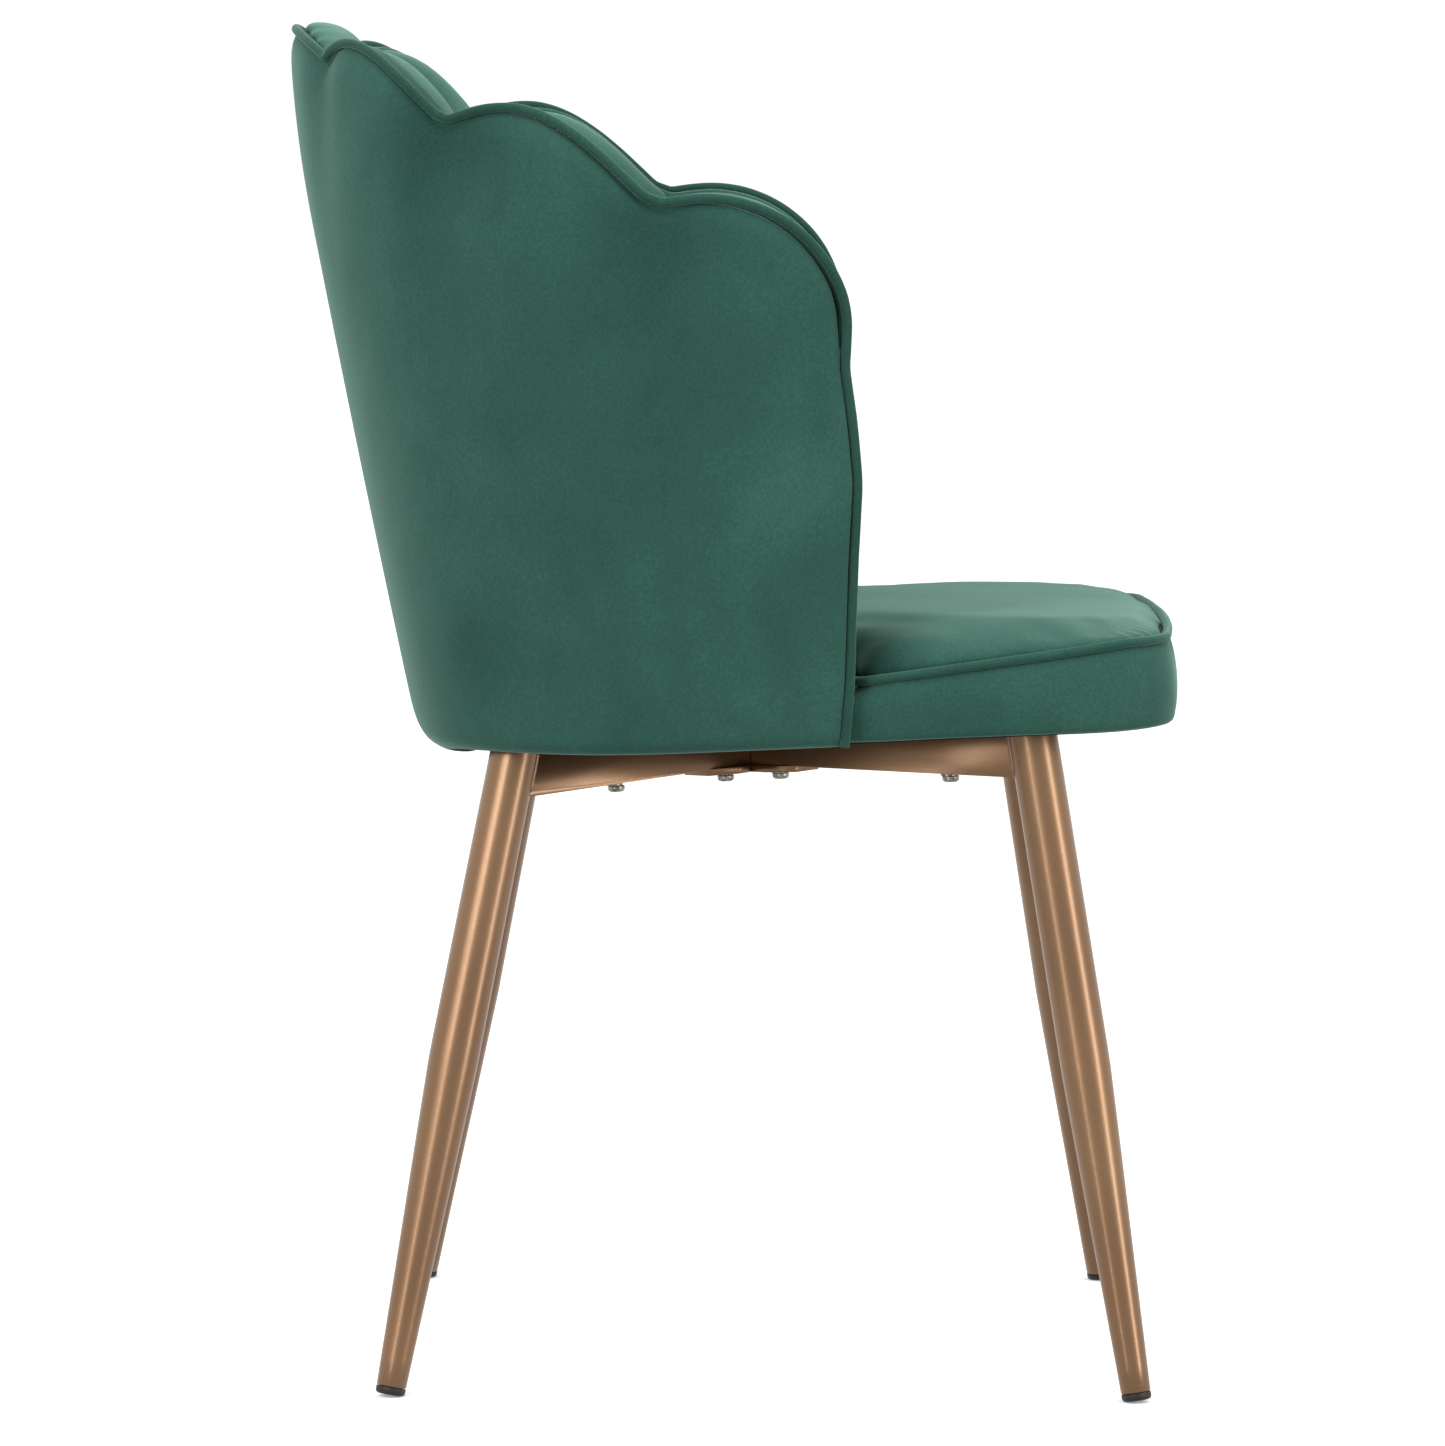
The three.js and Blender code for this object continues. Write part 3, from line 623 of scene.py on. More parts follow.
face = cover_points(0.0)
lining = cover_points(COVER_THICK)
count = len(columns)
shape = np.concatenate([face.reshape(-1, 3), lining.reshape(-1, 3)])
faces = grid_faces(LEVELS, count)
faces += grid_faces(LEVELS, count, start=LEVELS * count, flip=True)
base = LEVELS * count
for j in range(count - 1):
    last = (LEVELS - 1) * count
    faces.append((j + 1, j, base + j, base + j + 1))
    faces.append((last + j, last + j + 1, base + last + j + 1, base + last + j))
for i in range(LEVELS - 1):
    a, b = i * count, (i + 1) * count
    faces.append((a, b, base + b, base + a))
    a, b = a + count - 1, b + count - 1
    faces.append((b, a, base + a, base + b))
outer_cover = make_piece("back_outer_velvet", shape, faces, velvet)
outward(outer_cover)
outer_cover = subdivide(outer_cover)

# %% [markdown]
# ### Painted light and shade on the pile
# A number on each point shifts the velvet's tone. It paints shade below each valley,
# where the cloth is drawn in, and paints light on the rear bend and along the top. Two
# soft darker spots sit low on the hips.

# %% Painted light and shade on the cover
def set_tone_and_painted_light(piece, tone_of):
    attribute = piece.data.attributes.new("brushed", "FLOAT", "POINT")
    attribute.data.foreach_set("value", tone_of(points_of(piece)))


VALLEY_SPOTS = [tub(side * at, z) for at, z in VALLEYS for side in (1, -1)]


def cover_tone(points):
    tone = np.zeros(len(points))
    # painted shade in the soft crease below each valley
    for spot in VALLEY_SPOTS:
        across = np.hypot(points[:, 0] - spot[0], points[:, 1] - spot[1])
        down = spot[2] - points[:, 2]
        tone -= 0.20 * np.exp(-(across / 0.045) ** 2) * np.exp(-np.abs(down - 0.015) / 0.045)
    # two soft darker spots low on the hips
    for spot in (tub(0.47, 0.44), tub(-0.47, 0.44)):
        away = np.linalg.norm(points - spot, axis=1)
        tone -= 0.11 * np.exp(-(away / 0.032) ** 2)
    # painted highlight on the rear bend, and painted light along the top
    tone += 0.10 * np.clip((points[:, 1] - 0.17) / 0.08, 0, 1)
    tone += 0.06 * np.clip((points[:, 2] - 0.72) / 0.08, 0, 1)
    return tone


# painted shade below the valleys and painted light on the rear bend and top
set_tone_and_painted_light(outer_cover, cover_tone)
keep(outer_cover, "green_velvet", "back_outer_cover")


# %% [markdown]
# ## Blowing up a pad with Cloth
# A real pad is foam in a velvet sleeve that is a little too small for it. The same thing
# can be done here: a closed shape is remeshed evenly, its back is held where it is glued
# to the board, and Cloth's pressure swells the rest. How far a point may move is capped,
# so that the pad keeps clear of its neighbours. The swollen shape is then kept as a
# plain mesh and subdivided once.

# %% Inflate
def remesh_evenly(piece, voxel):
    even = piece.modifiers.new("even", "REMESH")
    even.mode = "VOXEL"
    even.voxel_size = voxel
    even.use_smooth_shade = True
    relax = piece.modifiers.new("relax", "SMOOTH")
    relax.factor = 0.5
    relax.iterations = 6
    return apply_modifiers(piece)


def inflate(piece, held_points, cap, pressure=4.0, frames=20):
    """Swells a remeshed piece; held_points gives the numbers of the points that stay."""
    start = points_of(piece)
    group = piece.vertex_groups.new(name="held")
    group.add([int(i) for i in held_points(start)], 1.0, "REPLACE")
    cloth = piece.modifiers.new("foam_pressure", "CLOTH")
    cloth.settings.quality = 4
    cloth.settings.mass = 0.25
    cloth.settings.tension_stiffness = 12
    cloth.settings.compression_stiffness = 8
    cloth.settings.bending_stiffness = 0.6
    cloth.settings.use_pressure = True
    cloth.settings.uniform_pressure_force = pressure
    cloth.settings.effector_weights.gravity = 0
    cloth.settings.vertex_group_mass = "held"
    cloth.point_cache.frame_start = 1
    cloth.point_cache.frame_end = frames
    for frame_number in range(1, frames + 1):
        bpy.context.scene.frame_set(frame_number)
    graph = bpy.context.evaluated_depsgraph_get()
    swollen = points_of(piece.evaluated_get(graph))
    piece.modifiers.clear()
    piece.vertex_groups.clear()
    bpy.context.scene.frame_set(1)
    move = swollen - start
    reach = np.linalg.norm(move, axis=1)
    move *= (np.minimum(reach, cap) / np.maximum(reach, 1e-9))[:, None]
    set_points(piece, start + move)
    settle = piece.modifiers.new("settle", "SMOOTH")
    settle.factor = 0.5
    settle.iterations = 5
    piece = apply_modifiers(piece)
    print(piece.name, "swelled by up to", round(float(reach.max()) * 1000, 1), "mm")
    return subdivide(piece)


# %% [markdown]
# ## The channel pads
# Inside the back, seven foam pads in velvet stand side by side. Each is crowned across,
# pinched at its seams, and rolls over the edge of the shell to meet the piping. The
# starting shape is a loft over the tub's rule, and Cloth gives it its fullness.

# %% The pads
PAD_BACK, PAD_FULL, PAD_SEAM = 0.0159, 0.0265, 0.0055
PAD_FOOT, ROLL_H, WRAP_DEPTH = 0.042, 0.030, 0.0076
PAD_EDGES = [-1.006, -0.76, -0.455, -0.185, 0.185, 0.455, 0.76, 1.006]
PAD_NAMES = ["wing_right", "side_right", "shoulder_right", "centre", "shoulder_left",
             "side_left", "wing_left"]
ACROSS, UP = 18, 44
PAD_VOXEL, GLUE_REACH, PAD_SWELL = 0.0046, 0.0065, 0.0055
CENTRE_RISE, OTHERS_RISE = 0.0025, -0.0050


def pad_rows(u0, u1):
    """Rings of the pad from its foot to its top: along the back, then over the front."""
    t = np.linspace(0, 1, ACROSS)
    u = u0 + 0.0008 + (u1 - u0 - 0.0016) * t
    crown = np.sqrt(np.maximum(0, 1 - (2 * t - 1) ** 2))
    top = np.array([rim_height(min(abs(a), 0.9975)) for a in u]) - 0.0015 + 0.004 * crown
    top = top + (CENTRE_RISE if abs(u0 + u1) < 0.01 else OTHERS_RISE) * crown
    foot = deck_height(tub(u, DECK_Z)[..., 1]) + PAD_FOOT
    rows = []
    for i in range(UP):
        s = math.sin(math.pi / 2 * i / (UP - 1)) ** 0.95
        z = foot + (top - foot) * s
        left = np.maximum(0, 1 - (top - z) / ROLL_H)
        roll = np.sqrt(np.maximum(0, 1 - left ** 2))
        wrap = np.clip((z - top + 0.013) / 0.007, 0, 1)
        front = np.clip((np.abs(u) - 0.974) / 0.012, 0, 1)
        over = np.maximum(wrap, front)
        back = PAD_BACK + (WRAP_DEPTH - PAD_BACK) * over * over * (3 - 2 * over)
        rounded = np.where(np.abs(u) > 0.9, np.sqrt(np.clip((1.006 - np.abs(u)) / 0.06, 0, 1)), 1)
        fat = PAD_SEAM + PAD_FULL * np.maximum(crown, 0) ** 0.8
        inner = PAD_BACK + 0.002 + fat * roll * np.minimum(1, 0.35 + rounded)
        fractions = u * np.where(np.abs(u) > 0.8, front_fraction(z), 1)
        rows.append(np.concatenate([tub(fractions, z, back),
                                    tub(fractions, z, inner)[::-1]]))
    return rows


def make_pad(name, u0, u1):
    rows = pad_rows(u0, u1)
    faces = grid_faces(UP, 2 * ACROSS, wrap=True) + end_faces(UP, ACROSS)
    pad = make_piece("pad_" + name, np.concatenate(rows), faces, velvet)
    outward(pad)
    pad = remesh_evenly(pad, PAD_VOXEL)
    back_of_pad = np.concatenate([row[:ACROSS] for row in rows])

    def glued(points):
        tree = KDTree(len(back_of_pad))
        for i, p in enumerate(back_of_pad):
            tree.insert(p, i)
        tree.balance()
        return [i for i, p in enumerate(points) if tree.find(p)[2] < GLUE_REACH]

    pad = inflate(pad, glued, cap=PAD_SWELL, pressure=5.0)
    # painted light over each pad's crown and painted shade in its channels
    set_tone_and_painted_light(pad, lambda p: pad_tone(p, u0, u1))
    keep(pad, "green_velvet", "back_pad_" + name)


def pad_tone(points, u0, u1):
    """Painted light over the crown, painted shade in the channels, and darker low down."""
    seams = np.array([tub(u, z, 0.02) for u in (u0, u1) for z in (0.5, 0.6, 0.7)])
    flat = np.hypot(points[:, None, 0] - seams[None, :, 0],
                    points[:, None, 1] - seams[None, :, 1]).min(1)
    return 0.16 * np.clip(flat / 0.05, 0, 1) - 0.04 + 0.12 * np.clip(
        (points[:, 2] - 0.66) / 0.14, 0, 1)


for name, u0, u1 in zip(PAD_NAMES, PAD_EDGES[:-1], PAD_EDGES[1:]):
    make_pad(name, u0, u1)

# %% [markdown]
# ### The cloth in the seams
# The channels are sewn through one wide piece of velvet, which lies on the shell at each
# seam and rolls over the shell's edge to the piping. It shows as the floor of every
# channel, darkened all over with painted shade, and as the strip between the pads and
# the piping.

# %% The sewn backing
fractions = column_fractions(26, 18) * 0.9985
edge_top = edge_path(0.0012, fractions)
rows = []
for i in range(40):
    s = math.sin(math.pi / 2 * i / 39) ** 0.9
    foot = deck_height(tub(fractions, DECK_Z)[..., 1]) + 0.030
    foot = np.where(np.abs(fractions) > 0.955, cover_low(fractions) + 0.002, foot)
    z = foot + (edge_top - foot) * s
    over = np.clip((z - edge_top + 0.011) / 0.005, 0, 1)
    over = np.maximum(over, np.clip((np.abs(fractions) - 0.975) / 0.01, 0, 1))
    back = PAD_BACK - 0.0006 + (0.0062 - PAD_BACK + 0.0006) * over
    near_edge = np.sqrt(np.clip(1 - np.clip(1 - (edge_top - z) / 0.008, 0, 1) ** 2, 0, 1))
    u = fractions * np.where(np.abs(fractions) > 0.8, front_fraction(z), 1)
    rows.append(np.concatenate([tub(u, z, back),
                                tub(u, z, PAD_BACK + 0.0005 + 0.0062 * near_edge)[::-1]]))
span = len(fractions)
faces = grid_faces(len(rows), 2 * span, wrap=True) + end_faces(len(rows), span)
backing = make_piece("channel_backing", np.concatenate(rows), faces, velvet)
outward(backing)
backing = subdivide(backing)
# painted shade: the whole backing is darkened, as the floor of the channels lies in shade
set_tone_and_painted_light(backing, lambda p: np.full(len(p), -0.12))
keep(backing, "green_velvet")

# %% [markdown]
# ## Piping
# A cord in a strip of velvet cut on the bias is sewn into the seam all round the back,
# and round the seat. It follows a path, so Geometry Nodes sweep it: the path is
# resampled, moved very slightly by noise, because no sewer holds a line exactly, and
# given a round section with closed ends.

# %% The piping tree
def new_socket(tree, name, kind, way="INPUT"):
    return tree.interface.new_socket(name=name, in_out=way, socket_type=kind)


def piping_tree():
    tree = bpy.data.node_groups.new("piping_along_a_path", "GeometryNodeTree")
    new_socket(tree, "Geometry", "NodeSocketGeometry")
    new_socket(tree, "Radius", "NodeSocketFloat")
    new_socket(tree, "Step", "NodeSocketFloat")
    new_socket(tree, "Waver", "NodeSocketFloat")
    new_socket(tree, "Material", "NodeSocketMaterial")
    new_socket(tree, "Geometry", "NodeSocketGeometry", "OUTPUT")
    given = tree.nodes.new("NodeGroupInput").outputs
    resample = add_node(tree, "GeometryNodeResampleCurve", {"mode": "LENGTH"},
                        {"Curve": given["Geometry"], "Length": given["Step"]})
    drift = add_node(tree, "ShaderNodeTexNoise", {"Scale": 24.0, "Detail": 2.0})
    centred = add_node(tree, "ShaderNodeVectorMath",
                       {"operation": "SUBTRACT", 1: (0.5, 0.5, 0.5)},
                       {0: drift.outputs["Color"]})
    offset = add_node(tree, "ShaderNodeVectorMath", {"operation": "SCALE"},
                      {0: centred.outputs["Vector"], "Scale": given["Waver"]})
    moved = add_node(tree, "GeometryNodeSetPosition", links={
        "Geometry": resample.outputs["Curve"], "Offset": offset.outputs["Vector"]})
    circle = add_node(tree, "GeometryNodeCurvePrimitiveCircle", {"Resolution": 14},
                      {"Radius": given["Radius"]})
    swept = add_node(tree, "GeometryNodeCurveToMesh", {"Fill Caps": True}, {
        "Curve": moved.outputs["Geometry"], "Profile Curve": circle.outputs["Curve"]})
    smooth = add_node(tree, "GeometryNodeSetShadeSmooth",
                      links={"Geometry": swept.outputs["Mesh"]})
    real = add_node(tree, "GeometryNodeRealizeInstances",
                    links={"Geometry": smooth.outputs[0]})
    painted = add_node(tree, "GeometryNodeSetMaterial", links={
        "Geometry": real.outputs[0], "Material": given["Material"]})
    leaving = tree.nodes.new("NodeGroupOutput")
    tree.links.new(painted.outputs[0], leaving.inputs[0])
    return tree


PIPING = piping_tree()
PIPE_STEP, PIPE_WAVER = 0.0035, 0.0007


def run_tree(piece, tree, **inputs):
    """Puts a tree on a piece with its named inputs set, and makes the result plain."""
    sockets = {s.name: s.identifier for s in tree.interface.items_tree if s.in_out == "INPUT"}
    live = piece.modifiers.new(tree.name, "NODES")
    live.node_group = tree
    for name, value in inputs.items():
        live[sockets[name]] = value
    return apply_modifiers(piece)


def sew_piping(name, path, radius):
    curve = bpy.data.curves.new(name, "CURVE")
    curve.dimensions = "3D"
    spline = curve.splines.new("NURBS")
    spline.points.add(len(path) - 1)
    for point, at in zip(spline.points, path):
        point.co = (*at, 1)
    spline.order_u = 3
    spline.use_endpoint_u = True
    spline.resolution_u = 4
    cord = bpy.data.objects.new(name, curve)
    bpy.context.collection.objects.link(cord)
    return run_tree(cord, PIPING, Radius=radius, Step=PIPE_STEP, Waver=PIPE_WAVER,
                    Material=welt_velvet)


# %% Piping round the back
PIPE_R, PIPE_DEPTH = 0.0029, 0.0040
path = []
for a in column_fractions(40, 26):
    if abs(a) > 0.9975:
        continue
    z = rim_height(a)
    dip = valley_dip(np.array([a]), np.array([z]))[0]
    path.append(tub(a * float(front_fraction(z)), z, PIPE_DEPTH + 0.2 * dip))
low_end = float(cover_low(1.0))
for side in (-1, 1):
    run = [tub(side * float(front_fraction(z)) * 0.998, z, PIPE_DEPTH)
           for z in np.linspace(0.628, low_end, 24)]
    path = run[::-1] + path if side < 0 else path + run
back_piping = sew_piping("back_piping", path, PIPE_R)
set_tone_and_painted_light(back_piping, lambda p: np.full(len(p), -0.04))
keep(back_piping, "green_velvet", "back_welt")

# %% [markdown]
# ## The seat
# The cushion has a top panel and a boxing strip with piping between them. The top panel
# is crowned foam, so it is blown up as the pads were. The boxing is stretched down the
# sides and folded under the plywood, where the dust cover hides its raw edge.

# %% The seat's plan
SEAT_FRONT, SEAT_BOW, SEAT_SIDE = -0.2738, 0.006, 0.212
SEAT_CORNER, SEAT_EAR, SEAT_REAR = 0.062, -0.072, 0.041
WELT_LEVEL, BOARD_CLEAR = 0.0464, 0.019
CLIMB_RUN, CLIMB, CLIMB_START = 0.165, 0.0163, 0.009


def on_deck(x, y, w):
    """From the tilted deck's own axes to the chair's."""
    x, y, w = np.broadcast_arrays(*(np.asarray(a, float) for a in (x, y, w)))
    return np.stack([x, y * math.cos(TILT) + w * math.sin(TILT),
                     DECK_Z - y * math.sin(TILT) + w * math.cos(TILT)], -1)


def seat_outline(inset, ear=SEAT_EAR):
    """Half the seat's edge, from the middle of the front to the middle of the rear."""
    corner_x = SEAT_SIDE - SEAT_CORNER
    half = [(corner_x * t, SEAT_FRONT + SEAT_BOW * t * t + inset) for t in np.linspace(0, 1, 14)]
    corner_y = SEAT_FRONT + SEAT_BOW + SEAT_CORNER
    r = SEAT_CORNER - inset
    half += [(corner_x + r * math.sin(a), corner_y - r * math.cos(a))
             for a in np.linspace(0.08, math.pi / 2, 16)]
    side_x, ear_y = SEAT_SIDE - inset, ear - inset
    half += [(side_x, y) for y in np.linspace(corner_y + 0.012, ear_y - 0.012, 8)]
    half += [(side_x - 0.010 + 0.010 * math.cos(a), ear_y - 0.010 + 0.010 * math.sin(a))
             for a in np.linspace(0.2, math.pi / 2, 5)]
    rear = [tub(u, DECK_Z, SEAT_REAR + inset)[:2] for u in np.linspace(0.985, 0, 26)]
    half += [(rear[0][0], ear_y)] + [tuple(p) for p in rear]
    return half


def seat_ring(inset, ear=SEAT_EAR):
    half = seat_outline(inset, ear)
    return np.array(half + [(-x, y) for x, y in half[-2:0:-1]])


def welt_climb(y):
    """How far the piping stands above its level: it climbs from the ears to the front."""
    return np.clip((SEAT_EAR - y) / CLIMB_RUN, 0, 1) * CLIMB - CLIMB_START


RING = len(seat_ring(0))
FRONT_COUNT = 14 + 16 + 8 + 5
is_rear = np.arange(RING)
is_rear = (is_rear >= FRONT_COUNT) & (is_rear <= RING - FRONT_COUNT)
print("seat ring", RING, "points,", int(is_rear.sum()), "of them in the tub")

# %% The boxing
BOXING = ((22, 1.3, 0), (8, 1.1, 0), (3.2, 1.8, 0), (1.2, 4, 0), (0.2, 9, 0), (-0.7, 16, 0.1),
          (-1.0, 23, 0.3), (-0.6, 30, 0.55), (0.6, 36, 0.8), (2.4, 41, 1), (4.6, 44.5, 1),
          (7.4, 45.4, 1), (8.6, 40, 0.9), (7.4, 30, 0.5), (7.2, 18, 0), (7.3, 5.3, 0),
          (22, 5.3, 0))


def boxing_ring(inset, level, climb):
    behind = np.clip((38 - level) / 6, 0, 1)
    ring = seat_ring(inset * MM, SEAT_EAR + 0.014 * behind)
    w = np.full(RING, level * MM)
    w = np.where(is_rear, BOARD_CLEAR + (w - 0.0011) * 0.6, w)
    return on_deck(ring[:, 0], ring[:, 1], w + climb * welt_climb(ring[:, 1]))


rows = [boxing_ring(*step) for step in BOXING]
rows.append(rows[0])
boxing = make_piece("seat_boxing", np.concatenate(rows),
                    grid_faces(len(rows), RING, wrap=True), velvet)
outward(boxing)
boxing = subdivide(boxing)

# %% Tucks and slack in the boxing
def ripple(points, size, amount, seed):
    """Small soft unevenness that stretched cloth keeps."""
    shift = Vector((seed, seed * 1.7, seed * 0.6))
    return np.array([noise.noise(Vector(p) / size + shift) for p in points]) * amount


def normals_of(piece):
    normals = np.empty(len(piece.data.vertices) * 3)
    piece.data.vertices.foreach_get("normal", normals)
    return normals.reshape(-1, 3)


points = points_of(boxing)
lift = ripple(points, 0.05, 0.0011, 3.0)
set_points(boxing, points + normals_of(boxing) * lift[:, None])


def seat_tone(points):
    """Pale where the top catches the light; painted shadow of the wings on the seat beside them."""
    tone = 0.12 * np.clip((points[:, 2] - 0.452) / 0.02, 0, 1)
    # painted shadow of the wings: a dark band just in front of each wing's edge, on the outer top
    edge = np.exp(-((points[:, 1] - SEAT_EAR + 0.012) / 0.024) ** 2)
    wing_shadow_side = np.clip((np.abs(points[:, 0]) - 0.10) / 0.05, 0, 1) * (points[:, 2] > 0.43)
    return tone - 0.38 * edge * wing_shadow_side


# painted light and painted wing shadow as on the top, with the boxing a little darker all over
set_tone_and_painted_light(boxing, lambda p: seat_tone(p) - 0.03)
keep(boxing, "green_velvet", "seat_cushion")

# %% The crowned top panel
def edge_distance(points, line, closed=True):
    """Distance in plan from points to an outline."""
    a, b = (line, np.roll(line, -1, 0)) if closed else (line[:-1], line[1:])
    ab = b - a
    t = ((points[:, None] - a) * ab).sum(-1) / np.maximum((ab ** 2).sum(-1), 1e-12)
    near = a + np.clip(t, 0, 1)[..., None] * ab
    return np.sqrt(((points[:, None] - near) ** 2).sum(-1)).min(1)


CROWN, CROWN_R, SEAT_MIDDLE = 0.0710, 0.058, np.array((0.0, -0.14))
PANEL_INSET, PANEL_VOXEL, PANEL_SWELL = 0.0048, 0.0055, 0.0030
panel_edge = seat_ring(PANEL_INSET)
FREE = FRONT_COUNT - 5
FREE_EDGE = np.concatenate([panel_edge[-FREE:], panel_edge[:FREE]])
TUB_EDGE = panel_edge[FREE:RING - FREE + 1]
SHRINK = (1, 0.985, 0.96, 0.92, 0.86, 0.78, 0.68, 0.56, 0.42, 0.28, 0.14)


def panel_rings(top):
    for s in SHRINK if top else SHRINK[::-1]:
        flat = SEAT_MIDDLE + (panel_edge - SEAT_MIDDLE) * s
        base = WELT_LEVEL + welt_climb(flat[:, 1]) + (0.0012 if top else -0.0035)
        if top:
            d = np.minimum(edge_distance(flat, FREE_EDGE, False) / CROWN_R, 1)
            e = np.minimum(edge_distance(flat, TUB_EDGE, False) / 0.011, 1)
            fall = 0.0088 * np.clip((-0.08 - flat[:, 1]) / 0.17, 0, 1) ** 1.2
            swell = np.sqrt(1 - (1 - d) ** 2) ** 0.9 * np.sqrt(1 - (1 - e) ** 2)
            base = base + (CROWN - fall - base) * swell
        yield on_deck(flat[:, 0], flat[:, 1], base)


rows = list(panel_rings(False)) + list(panel_rings(True))
shape = np.concatenate(rows)
faces = grid_faces(len(rows), RING, wrap=True)
ends = len(shape)
shape = np.concatenate([shape, [rows[0].mean(0)], [rows[-1].mean(0)]])
last = (len(rows) - 1) * RING
for j in range(RING):
    k = (j + 1) % RING
    faces += [(k, j, ends), (last + j, last + k, ends + 1)]
seat_top = make_piece("seat_top_panel", shape, faces, velvet)
outward(seat_top)
seat_top = remesh_evenly(seat_top, PANEL_VOXEL)


def sewn_down(points):
    plan_y = points[:, 1]
    level = DECK_Z - plan_y * math.tan(TILT) + WELT_LEVEL + welt_climb(plan_y)
    return np.nonzero(points[:, 2] < level + 0.0045)[0]


seat_top = inflate(seat_top, sewn_down, cap=PANEL_SWELL, pressure=4.0)
points = points_of(seat_top)
d = edge_distance(points[:, :2], panel_edge)
slack = ripple(points, 0.09, 0.0008, 8.0) * np.clip(d / 0.02, 0, 1)
corner = np.arctan2(-(points[:, 1] + 0.21), np.abs(points[:, 0]) - 0.15)
fold = np.exp(-((corner - 0.8) / 0.5) ** 2) * np.exp(-((d - 0.008) / 0.012) ** 2)
slack = slack + 0.0005 * np.sin(corner * 26) * fold * (points[:, 1] < -0.2)
set_points(seat_top, points + normals_of(seat_top) * slack[:, None])
# painted light on the top and the painted shadow of the wings
set_tone_and_painted_light(seat_top, seat_tone)
keep(seat_top, "green_velvet", "seat_cushion")

# %% Piping round the seat
SEAT_PIPE_R, SEAT_PIPE_INSET = 0.0028, 0.0036
edge = seat_outline(SEAT_PIPE_INSET)[:FRONT_COUNT]
run = [on_deck(x, y, WELT_LEVEL + float(welt_climb(np.array(y)))) for x, y in edge]
path = [np.array((-p[0], p[1], p[2])) for p in run[:0:-1]] + run
seat_piping = sew_piping("seat_piping", path, SEAT_PIPE_R)
set_tone_and_painted_light(seat_piping, lambda p: np.zeros(len(p)))
keep(seat_piping, "green_velvet", "seat_welt")

# %% [markdown]
# ## Legs and caps
# Each leg is a round steel tube whose lower half is swaged down to the foot. A lathe
# gives it: one profile turned about the leg's axis, with the end rolled in a little. The
# plastic cap is turned the same way and stands flat on the floor.

# %% Turned shapes
def capped_stack(name, rows, material, degrees):
    """Rings of points joined into a closed shape with flat ends."""
    sides = len(rows[0])
    last = (len(rows) - 1) * sides
    faces = grid_faces(len(rows), sides, wrap=True)
    faces += [tuple(range(sides))[::-1], tuple(range(last, last + sides))]
    piece = make_piece(name, [p for row in rows for p in row], faces, material)
    outward(piece)
    mark_hard_edges(piece, degrees)
    return piece


def turned_piece(name, profile, foot, head, material, sides=72):
    """A profile of (radius, distance) turned about the line from foot to head."""
    aim = (head - foot).to_track_quat("Z", "Y").to_matrix()
    angles = [2 * math.pi * k / sides for k in range(sides)]
    rows = [[foot + aim @ Vector((radius * math.cos(a), radius * math.sin(a), distance))
             for a in angles] for radius, distance in profile]
    return capped_stack(name, rows, material, 40)


def mark_hard_edges(piece, degrees):
    work = bmesh.new()
    work.from_mesh(piece.data)
    for edge in work.edges:
        if len(edge.link_faces) == 2:
            edge.smooth = edge.calc_face_angle() < math.radians(degrees)
    work.to_mesh(piece.data)
    work.free()


LEG_R, FOOT_R, SWAGE_Z, LEG_OVER = 0.015, 0.009, 0.197, 0.012
LEGS = {"rear": ((0.2205, 0.204), (0.160, 0.134)), "front": ((0.2255, -0.244), (0.176, -0.1835))}
CAP_TOP, LEG_HEAD_Z, DECK_CLAMP = 0.0053, 0.380, 0.0045
CORNERS = [(kind, side, hand) for kind in LEGS for side, hand in ((1, "left"), (-1, "right"))]


def leg_line(kind, side):
    (fx, fy), (tx, ty) = LEGS[kind]
    return Vector((side * fx, fy, 0)), Vector((side * tx, ty, LEG_HEAD_Z))


for kind, side, hand in CORNERS:
    foot, head = leg_line(kind, side)
    rise = (head - foot).normalized().z
    swage = SWAGE_Z / rise
    end = (deck_height(head.y) + LEG_OVER) / rise
    tube = [(FOOT_R - 0.0022, CAP_TOP + 0.0004), (FOOT_R - 0.0004, CAP_TOP + 0.0001),
            (FOOT_R, CAP_TOP + 0.0007)]
    for k in range(1, 13):
        t = k / 12
        ease = t - 0.010 * math.sin(2 * math.pi * t)
        tube.append((FOOT_R + (LEG_R - FOOT_R) * ease, CAP_TOP + (swage - CAP_TOP) * t))
    tube += [(LEG_R, swage + 0.01), (LEG_R, end - 0.0006), (LEG_R - 0.0006, end),
             (LEG_R - 0.0016, end)]
    leg = turned_piece(f"leg_tube_{kind}_{hand}", tube, foot, head, gold_paint)
    points = points_of(leg)
    points[:, 2] = np.minimum(points[:, 2], deck_height(points[:, 1]) + DECK_CLAMP)
    set_points(leg, points)
    keep(leg, "gold_paint", f"leg_{kind}_{hand}")

    cap = [(0.003, 0.0004), (FOOT_R - 0.0018, 0.0004), (FOOT_R - 0.0008, 0.0009),
           (FOOT_R - 0.0002, 0.0018), (FOOT_R, 0.003), (FOOT_R, CAP_TOP - 0.0004),
           (FOOT_R - 0.0004, CAP_TOP - 0.0002), (0.003, CAP_TOP - 0.0002)]
    piece = turned_piece(f"cap_{kind}_{hand}", cap, foot, head, plastic)
    points = points_of(piece)
    points[:, 2] = np.maximum(points[:, 2], 0.0)
    set_points(piece, points)
    keep(piece, "black_plastic", f"foot_cap_{kind}_{hand}")

# %% [markdown]
# ## The X frame
# Four pressed arms meet under the seat. The CAD arms have the right shape but knife
# sharp edges, and paint always rounds an edge. A merged copy of each arm gets a small
# bevel and stands for the CAD one.

# %% Arms with rounded edges
FRAME_MIDDLE_Y, ARM_GAP, EDGE_ROUND = -0.009, 0.0003, 0.0006


